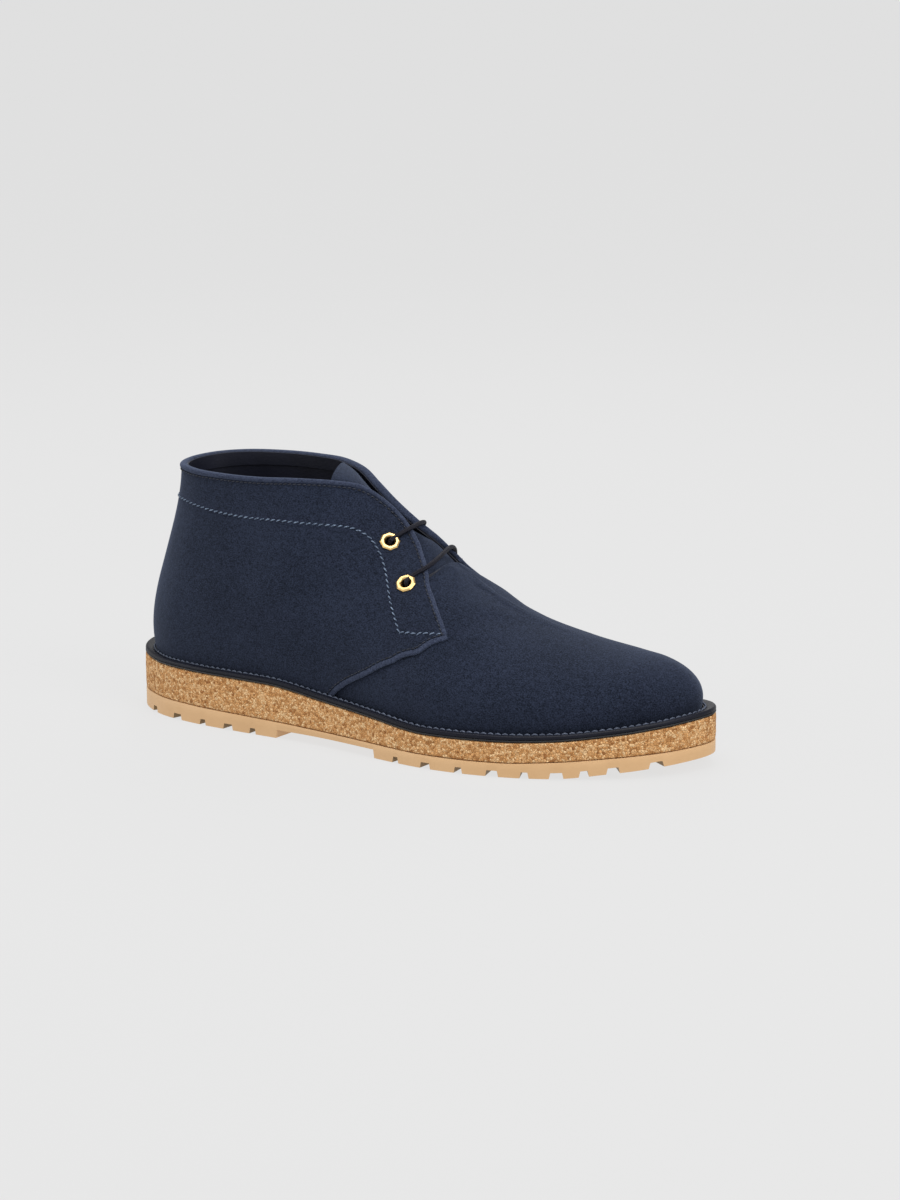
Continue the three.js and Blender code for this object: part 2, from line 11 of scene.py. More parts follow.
import bmesh
import bpy
import numpy as np
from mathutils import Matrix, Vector


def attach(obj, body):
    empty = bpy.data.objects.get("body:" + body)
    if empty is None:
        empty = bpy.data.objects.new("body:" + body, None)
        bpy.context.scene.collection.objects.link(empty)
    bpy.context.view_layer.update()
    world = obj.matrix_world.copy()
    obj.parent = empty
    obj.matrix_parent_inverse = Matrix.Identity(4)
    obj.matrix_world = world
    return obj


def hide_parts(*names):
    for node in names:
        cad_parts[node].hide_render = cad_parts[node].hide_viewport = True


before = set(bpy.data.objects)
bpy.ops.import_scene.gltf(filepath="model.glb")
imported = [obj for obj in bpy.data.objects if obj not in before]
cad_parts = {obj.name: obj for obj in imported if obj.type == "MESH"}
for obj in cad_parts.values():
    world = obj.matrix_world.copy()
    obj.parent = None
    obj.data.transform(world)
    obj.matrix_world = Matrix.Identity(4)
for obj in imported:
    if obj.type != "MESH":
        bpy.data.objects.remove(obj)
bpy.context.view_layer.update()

# %% [markdown]
# ## Camera, floor and light
# Footwear is best seen through a long lens from a little above the floor, so that the sides
# stay true. A pale sweep of paper runs up behind the boot without a corner, and wide soft
# lamps hang over it. One curved sheet does for floor and backdrop.

# %% The camera stands to the front and outer side of the boot
AZIMUTH, ELEVATION, DISTANCE = math.radians(29.70), math.radians(11.76), 1.300
AIM = np.array([0.0194, 0.0023, 0.0668])
LENS, SENSOR = 82.0, 36.0


def toward(azimuth, elevation):
    """Unit vector from the boot to a place at that azimuth and elevation, in radians."""
    return np.array([math.sin(azimuth) * math.cos(elevation),
                     -math.cos(azimuth) * math.cos(elevation), math.sin(elevation)])


def aim_at(thing, place, target):
    """Puts a camera or lamp at a place, with its -Z axis toward the target."""
    thing.location = place
    thing.rotation_euler = Vector(target - place).to_track_quat("-Z", "Y").to_euler()


camera = bpy.data.objects.new("camera", bpy.data.cameras.new("camera"))
bpy.context.scene.collection.objects.link(camera)
camera.data.lens, camera.data.sensor_width = LENS, SENSOR
camera.data.clip_start, camera.data.clip_end = 0.05, 20
aim_at(camera, AIM + DISTANCE * toward(AZIMUTH, ELEVATION), AIM)
bpy.context.scene.camera = camera
print("camera at", [round(v, 3) for v in camera.location])

# %% Soft lamps: a broad one overhead, a key over the toe and a fill at the side
LAMPS = [  # name, azimuth, elevation, distance m, width m, power W
    ("overhead", 20, 84, 1.6, 1.5, 19), ("key", 70, 42, 1.7, 1.0, 12),
    ("fill", -62, 14, 1.8, 1.0, 6), ("rim", 205, 40, 1.7, 0.9, 4)]
LAMP_TARGET = np.array([0.0, 0.0, 0.05])
SKY, SKY_STRENGTH = (0.80, 0.80, 0.80, 1), 0.37
for name, azimuth, elevation, distance, width, power in LAMPS:
    lamp = bpy.data.objects.new("lamp_" + name, bpy.data.lights.new("lamp_" + name, "AREA"))
    bpy.context.scene.collection.objects.link(lamp)
    lamp.data.shape, lamp.data.size, lamp.data.energy = "DISK", width, power
    aim_at(lamp, distance * toward(math.radians(azimuth), math.radians(elevation)),
           LAMP_TARGET)
world = bpy.data.worlds.new("studio")
bpy.context.scene.world = world
world.use_nodes = True
background = world.node_tree.nodes["Background"]
background.inputs["Color"].default_value = SKY
background.inputs["Strength"].default_value = SKY_STRENGTH
bpy.context.scene.view_settings.view_transform = "Standard"
print(len(LAMPS), "lamps")

# %% [markdown]
# ## Meshes from grids
# Almost every piece here is a surface worked out over two parameters. These helpers join a
# grid of points with faces, weld its seams and finish the edges with modifiers.

# %% Grid faces and a mesh from arrays
MM = 0.001


def grid_faces(rows, columns, close_rows=False, close_columns=False):
    """Quads (i, j), (i+1, j), (i+1, j+1), (i, j+1) of a grid; a closed direction joins its
    last line to its first."""
    i = np.arange(rows if close_rows else rows - 1)
    j = np.arange(columns if close_columns else columns - 1)
    i, j = (a.ravel() for a in np.meshgrid(i, j, indexing="ij"))
    k, m = (i + 1) % rows, (j + 1) % columns
    return np.stack([i * columns + j, k * columns + j, k * columns + m, i * columns + m], 1)


def make_piece(name, points, faces, weld=2e-5, closed=True, uv=None, parts=None):
    """One mesh object from points (n, 3) in metres and quads, with parts as the faces'
    material numbers. Points nearer than weld are merged, and a closed shell is turned to
    face outward."""
    mesh = bpy.data.meshes.new(name)
    mesh.from_pydata(np.asarray(points, float).reshape(-1, 3).tolist(), [], faces.tolist())
    if uv is not None:
        layer = mesh.uv_layers.new(name="UVMap")
        layer.data.foreach_set("uv", uv.reshape(-1, 2)[faces.ravel()].ravel().astype(np.float32))
    if parts is not None:
        mesh.polygons.foreach_set("material_index", parts)
    shell = bmesh.new()
    shell.from_mesh(mesh)
    if weld:
        bmesh.ops.remove_doubles(shell, verts=shell.verts, dist=weld)
    if closed:
        bmesh.ops.recalc_face_normals(shell, faces=shell.faces)
    shell.to_mesh(mesh)
    shell.free()
    mesh.shade_smooth()
    piece = bpy.data.objects.new(name, mesh)
    bpy.context.scene.collection.objects.link(piece)
    return piece


def finish_piece(piece, replaced=(), thickness=0.0, bevel=0.0, angle=40, rim=0):
    """Adds the wall (Solidify, inward), with rim as the material of its cut edges, rounds the
    edges sharper than angle (Bevel) and puts the piece on the root body, in place of the
    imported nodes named. Lengths are in metres."""
    if thickness:
        wall = piece.modifiers.new("wall", "SOLIDIFY")
        wall.thickness, wall.offset = thickness, -1
        wall.material_offset_rim = rim
    if bevel:
        edge = piece.modifiers.new("edge", "BEVEL")
        edge.width, edge.segments, edge.limit_method = bevel, 2, "ANGLE"
        edge.angle_limit = math.radians(angle)
        edge.harden_normals = True
    if replaced:
        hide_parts(*replaced)
    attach(piece, "root")
    print(f"{piece.name}: {len(piece.data.polygons)} faces")
    return piece


# %% [markdown]
# ## The last
# A shoemaker pulls the leather over a last, and every upper panel takes its form from it.
# Here the last is a table of profiles, each a cubic Bezier curve from the feather line (where
# the upper meets the sole) to the topline or the ridge of the instep. It is the same table
# as the solid upper's, so the panels lie on it without any fitting.

# %% Tables: heights of the sole's layers, and the profiles of the last
SOLE = np.array([  # x, tread, outsole's top, crepe's top
    [0, 0.6, 9.5, 28.0], [30, 0.0, 9.0, 25.7], [95, 0.0, 8.0, 25.3], [130, 0.0, 7.0, 21.4],
    [160, 0.0, 6.7, 18.6], [192, 0.0, 6.3, 15.6], [225, 0.0, 6.4, 15.9],
    [250, 0.1, 7.6, 16.9], [275, 2.5, 9.6, 19.6], [306, 6.2, 12.0, 24.5]])
# Columns of a profile: its two ends in mm, then in degrees the heading of its top and the leans
# of its top and base, and its two handles as shares of the distance between the ends.
PROFILE = ["baseX", "baseY", "topX", "topY", "topZ", "heading", "lean", "lowLean", "low", "high"]
LATERAL = np.array([
    [9.8, 0.0, 25.6, 0.0, 124.3, 180, 0, 18, 0.30, 0.34],
    [14.5, -15.5, 29.5, -13.5, 123.6, 222, 0, 18, 0.30, 0.34],
    [30.5, -28.5, 43.0, -22.5, 122.6, 247, 2, 18, 0.30, 0.32],
    [52.0, -34.8, 62.0, -26.2, 122.2, 262, 5, 16, 0.32, 0.30],
    [78.0, -37.7, 84.0, -26.4, 122.2, 268, 8, 16, 0.34, 0.30],
    [103.0, -39.3, 104.0, -23.5, 122.8, 272, 14, 16, 0.35, 0.30],
    [118.0, -40.2, 118.0, -17.0, 122.0, 274, 22, 16, 0.36, 0.30],
    [131.0, -41.6, 130.0, -10.0, 119.8, 274, 32, 15, 0.36, 0.31],
    [145.0, -44.0, 141.0, -5.0, 112.5, 271, 42, 15, 0.36, 0.32],
    [160.0, -47.0, 152.0, -4.0, 102.8, 270, 48, 15, 0.35, 0.32],
    [173.0, -49.5, 161.0, -8.5, 94.5, 270, 51, 15, 0.34, 0.31],
    [184.0, -51.2, 167.0, -13.5, 87.5, 270, 54, 15, 0.34, 0.30],
    [192.0, -52.0, 171.5, -16.5, 82.5, 270, 56, 16, 0.34, 0.29],
    [200.0, -52.0, 173.0, -7.0, 84.0, 286, 74, 16, 0.35, 0.26],
    [209.0, -51.5, 174.0, 4.0, 83.8, 304, 90, 16, 0.36, 0.24],
    [219.0, -50.0, 187.0, 5.5, 75.6, 300, 90, 17, 0.36, 0.25],
    [233.0, -46.5, 207.0, 7.0, 64.4, 290, 90, 20, 0.38, 0.30],
    [250.0, -39.5, 236.0, 8.5, 56.0, 284, 90, 22, 0.40, 0.38],
    [266.0, -30.5, 262.0, 9.5, 51.6, 288, 90, 22, 0.42, 0.43],
    [280.0, -20.0, 270.0, 9.8, 50.4, 304, 90, 20, 0.44, 0.46],
    [290.5, -8.0, 270.0, 9.8, 50.4, 332, 90, 20, 0.46, 0.48],
    [297.8, 10.0, 270.0, 9.8, 50.4, 360, 90, 20, 0.48, 0.48],
])
MEDIAL = np.array([
    [9.8, 0.0, 25.6, 0.0, 124.3, 180, 0, 18, 0.30, 0.34],
    [14.5, 15.5, 29.5, 13.5, 125.2, 138, 0, 18, 0.30, 0.34],
    [30.5, 28.0, 43.0, 22.5, 126.3, 113, 2, 16, 0.30, 0.32],
    [52.0, 31.0, 62.0, 26.2, 126.8, 98, 5, 14, 0.32, 0.30],
    [78.0, 30.0, 84.0, 26.6, 126.6, 92, 8, 12, 0.34, 0.30],
    [103.0, 28.5, 102.0, 24.0, 125.4, 88, 14, 12, 0.35, 0.30],
    [118.0, 28.0, 115.0, 18.0, 122.8, 86, 22, 13, 0.36, 0.30],
    [131.0, 28.6, 127.0, 10.5, 117.8, 86, 32, 14, 0.36, 0.31],
    [145.0, 30.5, 140.0, 5.0, 110.6, 89, 42, 14, 0.36, 0.32],
    [160.0, 33.5, 152.0, 4.0, 102.6, 90, 48, 14, 0.35, 0.32],
    [173.0, 37.5, 160.5, 9.0, 94.5, 90, 51, 14, 0.34, 0.30],
    [184.0, 40.5, 166.0, 13.0, 87.8, 90, 54, 15, 0.34, 0.28],
    [192.0, 42.8, 170.0, 15.5, 83.0, 90, 56, 16, 0.34, 0.26],
    [200.0, 44.8, 172.8, 11.0, 82.8, 74, 74, 16, 0.35, 0.20],
    [209.0, 46.3, 174.0, 4.0, 83.8, 56, 90, 16, 0.36, 0.20],
    [219.0, 47.2, 187.0, 5.5, 75.6, 60, 90, 17, 0.36, 0.21],
    [233.0, 47.3, 207.0, 7.0, 64.4, 70, 90, 19, 0.38, 0.26],
    [250.0, 45.0, 236.0, 8.5, 56.0, 76, 90, 21, 0.40, 0.36],
    [266.0, 40.8, 262.0, 9.5, 51.6, 72, 90, 22, 0.42, 0.42],
    [281.0, 34.3, 270.0, 9.8, 50.4, 56, 90, 20, 0.44, 0.46],
    [292.0, 24.5, 270.0, 9.8, 50.4, 28, 90, 20, 0.46, 0.48],
    [297.8, 10.0, 270.0, 9.8, 50.4, 0, 90, 20, 0.48, 0.48],
])
RIDGE_FALL = np.array([  # x, slope of the ridge
    [150, -0.8], [174, -0.68], [196, -0.6], [220, -0.4], [244, -0.22], [262, -0.17], [300, -0.17]])
TOE, THROAT, RIDGE, POLE = 21, 12, 14, 19  # rows: the toe, facing corner, ridge's start, pole
GAP, WALL = 0.3, 2.0  # mm between solids that meet, and the upper's wall
SHIFT = np.array([-153.8, 2.316, 0.0])  # from the tables' zero to the middle of the box
UPWARD = np.array([0.0, 0.0, 1.0])
print(len(LATERAL), "profiles on each side")

# %% Small formulas: a cubic through a table, a Bezier curve, lengths and a soft step
def cubic(knots, values, at, level=False):
    """Hermite cubic. A slope is the mean of its two chords, each weighted by the other's
    width, or their harmonic mean where the curve may not overshoot."""
    width = np.diff(knots)
    chord = np.diff(values) / width
    before, after = chord[:-1], chord[1:]
    if level:
        total = np.where(before + after == 0, 1, before + after)
        inner = np.where(before * after <= 0, 0, 2 * before * after / total)
    else:
        inner = (width[1:] * before + width[:-1] * after) / (width[1:] + width[:-1])
    slope = np.concatenate([chord[:1], inner, chord[-1:]])
    i = np.clip(np.searchsorted(knots, at, side="right") - 1, 0, len(knots) - 2)
    t = np.clip((at - knots[i]) / width[i], 0, 1)
    return ((1 + 2 * t) * (1 - t) ** 2 * values[i] + t * (1 - t) ** 2 * width[i] * slope[i]
            + t * t * (3 - 2 * t) * values[i + 1] - t * t * (1 - t) * width[i] * slope[i + 1])


def bezier(t, one, two, three, four):
    """(1-t)^3 one + 3t(1-t)^2 two + 3t^2(1-t) three + t^3 four."""
    return ((1 - t) ** 3 * one + 3 * t * (1 - t) ** 2 * two + 3 * t ** 2 * (1 - t) * three
            + t ** 3 * four)


def distances(points):
    """Distance from the first point along a line of points."""
    return np.concatenate([[0], np.cumsum(np.linalg.norm(np.diff(points, axis=0), axis=1))])


def ease(t):
    """Soft step: 3t^2 - 2t^3, with t held between 0 and 1."""
    t = np.clip(t, 0, 1)
    return t ** 2 * (3 - 2 * t)


def sole_height(layer, x):
    """Height in mm of a layer of the sole (1 tread, 2 outsole's top, 3 crepe's top)."""
    return cubic(SOLE[:, 0], SOLE[:, layer], x, level=True)


# %% The surface of the last
mean_x, half_y = (LATERAL[:, 0] + MEDIAL[:, 0]) / 2, (MEDIAL[:, 1] - LATERAL[:, 1]) / 2
row_knot = np.concatenate([[0], np.cumsum(np.hypot(np.diff(mean_x), np.diff(half_y)))])
row_knot = np.append(row_knot, 2 * row_knot[-1] - row_knot[-2])
ring = np.concatenate([LATERAL[TOE - 1:TOE], MEDIAL[::-1], LATERAL[1:], MEDIAL[TOE - 1:TOE]])
ring_knot = np.concatenate([-row_knot[::-1], row_knot[1:]])
ring_heading = np.radians(ring[:, PROFILE.index("heading")])


def place_of(row):
    """Place in mm round the ring at a row, positive on the outer side."""
    return np.sign(row) * np.interp(np.abs(row), np.arange(TOE + 2), row_knot)


def column(name, place):
    """A column of the profile table at a place round the ring."""
    return cubic(ring_knot, ring[:, PROFILE.index(name)], place)


def unit(vectors):
    """Vectors scaled to length 1."""
    return vectors / np.maximum(np.linalg.norm(vectors, axis=-1, keepdims=True), 1e-12)


def feather(row):
    """Feather line at rows (positive on the outer side, negative on the inner): points in mm
    and the outward normal in plan, the tangent turned by a right angle."""
    place = place_of(row)
    x = column("baseX", place)
    points = np.stack([x, column("baseY", place), sole_height(3, x) + GAP], -1)
    step = 0.5
    along = np.stack([column(name, place + step) - column(name, place - step)
                      for name in ("baseX", "baseY")], -1)
    normal = unit(np.stack([along[..., 1], -along[..., 0], 0 * along[..., 0]], -1))
    return points, normal


def ridge_slope(place):
    """Slope dz/dx of the ridge at places round the ring, by a small step back, so that both
    sides meet there in one plane. Before the ridge it comes from the table."""
    on_ridge = np.abs(place) >= row_knot[RIDGE]
    place = np.where(on_ridge, np.abs(place), place)
    back = place - 0.5 * np.sign(place)
    run = column("topX", place) - column("topX", back)
    slope = (column("topZ", place) - column("topZ", back)) / np.where(on_ridge, run, 1)
    return np.where(on_ridge, slope,
                    cubic(RIDGE_FALL[:, 0], RIDGE_FALL[:, 1], column("topX", place), True))


def last(row, up):
    """Points of the last in mm: up runs 0 to 1 along a row's profile, the Bezier curve from
    base over low and high to top. low and high lie along the leans of its two ends, a share
    of its reach away."""
    row, t = np.broadcast_arrays(np.asarray(row, float), np.asarray(up, float))
    row = np.where(row > TOE, row - 2 * TOE, np.where(row < -TOE, row + 2 * TOE, row))
    place, top_place = place_of(row), place_of(np.clip(row, -POLE, POLE))
    base, outward = feather(row)
    tops = [np.stack([column(name, p) for name in ("topX", "topY", "topZ")], -1)
            for p in (top_place, -top_place)]
    top = np.where((np.abs(row) >= RIDGE)[..., None], (tops[0] + tops[1]) / 2, tops[0])
    reach = np.linalg.norm(top - base, axis=-1)
    away = unit(np.stack([cubic(ring_knot, np.cos(ring_heading), place),
                          cubic(ring_knot, np.sin(ring_heading), place), 0 * place], -1))
    away[..., 2] = ridge_slope(top_place) * away[..., 0]
    low_lean, lean = np.radians(column("lowLean", place)), np.radians(column("lean", place))
    low_reach, high_reach = column("low", place) * reach, column("high", place) * reach
    low = base + (low_reach * np.sin(low_lean))[..., None] * outward \
        + (low_reach * np.cos(low_lean))[..., None] * UPWARD
    high = top + (high_reach * np.sin(lean))[..., None] * away \
        - (high_reach * np.cos(lean))[..., None] * UPWARD
    return bezier(t[..., None], base, low, high, top)


def last_normal(row, up):
    """Outward unit normal: the cross product of the two tangents by small steps, or
    (-slope, 0, 1) on the ridge, where both sides share it."""
    near = 0.02
    row, up = np.broadcast_arrays(np.asarray(row, float), np.asarray(up, float))
    along = last(row + near, up) - last(row - near, up)
    rise = last(row, np.minimum(up + near, 1)) - last(row, np.maximum(up - near, 0))
    slope = ridge_slope(place_of(np.clip(np.abs(row), RIDGE, POLE)))
    on_ridge = ((np.abs(row) >= RIDGE) & (up > 0.999))[..., None]
    return np.where(on_ridge, unit(np.stack([-slope, 0 * slope, 1 + 0 * slope], -1)),
                    unit(np.cross(along, rise)))


def to_frame(points):
    """From the tables' millimetres to the frame's metres."""
    return (np.asarray(points) + SHIFT) * MM


check = to_frame(last(np.linspace(-TOE, TOE, 169)[:, None], np.linspace(0, 1, 21)[None]))
print("last spans, m:", check.reshape(-1, 3).min(0).round(4), check.reshape(-1, 3).max(0).round(4))

# %% Pieces from grids in the tables' millimetres
def sheet_piece(name, points, flip=1, **options):
    """An open sheet from a grid in mm; flip is -1 where its rows run the other way."""
    return make_piece(name, to_frame(points), grid_faces(*points.shape[:2])[:, ::flip],
                      closed=False, **options)


def ring_piece(name, points, **options):
    """A closed body from a grid in mm whose last column meets its first."""
    return make_piece(name, to_frame(points), grid_faces(*points.shape[:2], close_columns=True),
                      **options)


# %% [markdown]
# ## Creases
# Suede that has stood in a box keeps a few soft folds: one in front of the tongue where the
# vamp turns up, one below each facing corner, and slight hollows at the ankle. Each is a
# trough or a ridge along a short line on the last.

# %% Troughs and ridges, as a table
FRONT_CREASE = (15.0, 0.93, -15.0, 0.93, 0.55, 4.0)  # columns as in SIDE_CREASES
SIDE_CREASES = [  # row and up of two ends on the outer side, depth mm (- is a ridge), width mm
    (14.6, 0.72, 16.2, 0.95, -0.35, 6.0), (13.9, 0.50, 15.4, 0.74, 0.40, 5.0),
    (1.5, 0.50, 4.2, 0.56, 0.45, 9.0), (6.0, 0.42, 8.6, 0.62, 0.35, 8.0)]
CREASES = [FRONT_CREASE] + [(sign * row_a, up_a, sign * row_b, up_b, depth, width)
                            for row_a, up_a, row_b, up_b, depth, width in SIDE_CREASES
                            for sign in (1, -1)]


def crease_depth(points):
    """Sum over the creases of depth * exp(-(distance to the crease's line / width)^2)."""
    depth = np.zeros(points.shape[:-1])
    for row_a, up_a, row_b, up_b, amount, width in CREASES:
        start, end = last(row_a, up_a), last(row_b, up_b)
        line = end - start
        t = np.clip(((points - start) @ line) / (line @ line), 0, 1)
        distance = np.linalg.norm(points - start - t[..., None] * line, axis=-1)
        depth += amount * np.exp(-(distance / width) ** 2)
    return depth


def skin(row, up, offset=0.0):
    """A leather surface: the last moved out by offset mm and in by the creases."""
    points, normal = last(row, up), last_normal(row, up)
    return points + (offset - crease_depth(points))[..., None] * normal


print(len(CREASES), "creases")

# %% [markdown]
# ## Suede panels
# A chukka's upper is two quarters lapped over one vamp. Each panel is cut flat, sewn, then
# pulled to the last, so it is drawn here as an outline in the last's own coordinates (row
# round the foot, up from the feather line) and filled with a Coons patch. That keeps every
# point on the last, and the rim of the patch is the knife's cut.

# %% Outlines on the last, and a patch between four edges
QUARTER_OUT, QUARTER_THICK = 0.8, 1.5
VAMP_THICK, VAMP_UNDER, VAMP_OUT = 0.8, -0.85, -0.05
LOWER_EDGE = np.array([  # row and up, from the welt forward to the tab's corner
    [7.0, 0.0], [7.5, 0.065], [8.6, 0.175], [9.93, 0.315], [11.0, 0.408], [12.1, 0.466],
    [13.55, 0.487]])
FRONT_EDGE = np.array([  # row and up, from the tab's corner up to the facing's corner
    [13.55, 0.487], [13.1, 0.647], [12.67, 0.792], [12.2, 0.925], [11.95, 1.0]])


def along(table, t):
    """A table of (row, up) as a curve, t from 0 to 1 by the length on the last."""
    length = distances(last(table[:, 0], table[:, 1]))
    return np.stack([cubic(length / length[-1], table[:, k], t) for k in (0, 1)], -1)


def coons(bottom, top, left, right):
    """A grid (u, v) between four edges: the two ruled surfaces less the bilinear one."""
    u = np.linspace(0, 1, len(bottom))[:, None, None]
    v = np.linspace(0, 1, len(left))[None, :, None]
    ruled = (1 - v) * bottom[:, None] + v * top[:, None] \
        + (1 - u) * left[None] + u * right[None]
    corners = (1 - u) * (1 - v) * bottom[0] + u * (1 - v) * bottom[-1] \
        + (1 - u) * v * top[0] + u * v * top[-1]
    return ruled - corners


def quarter_outline(columns, levels):
    """(row, up) over a quarter: the heel seam, the feather line and lower edge, the topline
    and the front edge."""
    turn = LOWER_EDGE[0, 0] / FRONT_EDGE[-1, 0]
    u = np.linspace(0, 1, columns)
    on_feather = np.stack([u * FRONT_EDGE[-1, 0], 0 * u], -1)
    on_edge = along(LOWER_EDGE, np.clip((u - turn) / (1 - turn), 0, 1))
    bottom = np.where((u < turn)[:, None], on_feather, on_edge)
    top = np.stack([u * FRONT_EDGE[-1, 0], 0 * u + 1], -1)
    left = np.stack([np.zeros(levels), np.linspace(0, 1, levels)], -1)
    grid = coons(bottom, top, left, along(FRONT_EDGE, np.linspace(0, 1, levels)))
    grid[..., 0] = np.maximum(grid[..., 0], SEAM_HALF)
    return grid


SEAM_HALF = 0.02  # rows: the two quarters meet at the heel in a closed seam
SIDES = {"lateral": 1, "medial": -1}
quarter_grid = quarter_outline(150, 56)
print("quarter grid", quarter_grid.shape)

# %% Eyelet seats, and panels with their holes
EYELETS = {  # row and up on the last
    "lateral_upper": (8.67, 0.838), "lateral_lower": (10.25, 0.75),
    "medial_upper": (-8.67, 0.838), "medial_lower": (-10.25, 0.75),
}
HOLE_CLEAR = 3.35  # mm: faces nearer the eyelet's axis than this are left out


def seat(name):
    """Centre in mm and outward axis of an eyelet."""
    row, up = EYELETS[name]
    return last(row, up), last_normal(row, up)


def without_holes(points, faces):
    """Leaves out the faces round each eyelet's axis."""
    centre = points.reshape(-1, 3)[faces].mean(1)
    keep = np.ones(len(faces), bool)
    for name in EYELETS:
        place, axis = seat(name)
        gap = centre - place
        height = gap @ axis
        beside = np.linalg.norm(gap - height[:, None] * axis, axis=1)
        keep &= (beside > HOLE_CLEAR) | (np.abs(height) > 3 * WALL)
    return faces[keep]


quarters = {}
for side, sign in SIDES.items():
    points = skin(sign * quarter_grid[..., 0], quarter_grid[..., 1], QUARTER_OUT)
    faces = grid_faces(*points.shape[:2])[:, ::sign]
    quarters[side] = make_piece("quarter_" + side, to_frame(points),
                                without_holes(points, faces), closed=False)
    finish_piece(quarters[side], thickness=QUARTER_THICK * MM, bevel=0.25 * MM, rim=1)

# %% The vamp runs from under the quarters over the toe
VAMP_BACK = np.array([  # up, row of the hidden back edge
    [0.0, 5.9], [0.1, 6.8], [0.25, 8.0], [0.4, 9.6], [0.5, 10.9], [0.62, 11.4], [0.8, 11.4],
    [0.9, 11.3], [0.94, 11.7], [0.97, 12.4], [0.99, 13.2], [1.0, 14.0]])
VAMP_FEATHER = 0.22  # share of the vamp over which it thins to lie under the quarters
THROAT_LIP = {"back": -4.0, "up": 2.7, "start": 170, "run": 15, "half_width": 12, "middle": 3}
levels = np.concatenate([np.linspace(0, 0.9, 40), np.linspace(0.9, 1, 12)[1:]])
share = np.linspace(0, 1, 130)[:, None]
back = cubic(VAMP_BACK[:, 0], VAMP_BACK[:, 1], levels, level=True)[None]
half_rows = back + (TOE - back) * share
half_ups = np.broadcast_to(levels, half_rows.shape)
across_rows = np.concatenate([half_rows, -half_rows[:, ::-1]], 1)
across_ups = np.concatenate([half_ups, half_ups[:, ::-1]], 1)
vamp_offset = VAMP_UNDER + (VAMP_OUT - VAMP_UNDER) * ease(share / VAMP_FEATHER)
vamp_points = skin(across_rows, across_ups, np.broadcast_to(vamp_offset, across_rows.shape))
# The throat edge runs on up the instep as a short lip: a shift in mm that fades forward from
# its start and sideways from the middle line.
from_edge = np.maximum(vamp_points[..., 0] - THROAT_LIP["start"], 0)
fade = np.exp(-(from_edge / THROAT_LIP["run"]) ** 2
              - ((vamp_points[..., 1] - THROAT_LIP["middle"]) / THROAT_LIP["half_width"]) ** 2)
fade *= np.clip((across_ups - 0.8) / 0.2, 0, 1)
vamp_points += fade[..., None] * np.array([THROAT_LIP["back"], 0, THROAT_LIP["up"]])
# The two sides meet on the ridge. Averaging each point with its neighbours across it, most
# at the ridge and less with each step away, takes out the last of the crease between them.
AVERAGED_STEPS, AVERAGING_ROUNDS = 14, 12
ridge = len(levels)
across = np.delete(vamp_points, ridge, axis=1)
steps = np.abs(np.arange(across.shape[1]) - (ridge - 1))[1:-1, None]
weight = np.clip(1 - steps / AVERAGED_STEPS, 0, 1)
for _ in range(AVERAGING_ROUNDS):
    between = (across[:, 2:] + across[:, :-2]) / 2
    across[:, 1:-1] += weight * (between - across[:, 1:-1]) / 2
vamp_points = np.insert(across, ridge, across[:, ridge - 1], axis=1)
vamp = sheet_piece("vamp", vamp_points)
finish_piece(vamp, thickness=VAMP_THICK * MM, bevel=0.2 * MM, rim=1)

# %% [markdown]
# ## Lining and footbed
# Inside, a smooth leather lining is pasted to the suede and a footbed covers the insole
# board. The lining is the inner face of the same last, and the footbed a shallow dish that
# fills the feather line.

# %% Lining
LINING_OUT, LINING_THICK = -1.05, 0.95
rows = np.concatenate([np.linspace(-TOE, -14.0, 40), np.linspace(-13.9, 13.9, 130),
                       np.linspace(14.0, TOE, 40)])[:, None]
levels = np.linspace(0, 1, 34)[None]
points = skin(rows, levels, LINING_OUT)
lining = make_piece("lining", to_frame(points),
                    without_holes(points, grid_faces(*points.shape[:2])), weld=3e-4, closed=False)
finish_piece(lining, replaced=["upper"], thickness=LINING_THICK * MM)

# %% Footbed
FOOTBED_RISE, FOOTBED_INSET, FOOTBED_THICK, DISH = 3.1, 2.4, 2.9, 1.6  # mm
rows = np.linspace(0, TOE, 90)
sides = []
for sign in (1, -1):
    line, normal = feather(sign * np.maximum(rows, 1e-6))
    sides.append(line - FOOTBED_INSET * normal)
t = np.linspace(0, 1, 25)[None, :, None]
points = (1 - t) * sides[0][:, None] + t * sides[1][:, None]
dish = DISH * (2 * t[..., 0] - 1) ** 4
points[..., 2] = sole_height(3, points[..., 0]) + GAP + FOOTBED_RISE + dish
footbed = sheet_piece("footbed", points)
finish_piece(footbed, replaced=["insole"], thickness=FOOTBED_THICK * MM,
             bevel=0.5 * MM)

# %% [markdown]
# ## Tongue
# The tongue is a separate suede sheet sewn under the throat of the vamp. It lies under both
# facings and bulges a little between them, so each of its rows is two short flanks on the
# last, sunk below the facings, joined by a Bezier bridge.

# %% Tongue
TONGUE = {"thick": 2.0, "sink": 4.9, "tuck": 2.4, "under": 0.24, "arch": 0.36, "shrink": 0.04,
          "slip": 0.62, "top": 5.95, "foot": 14.1}


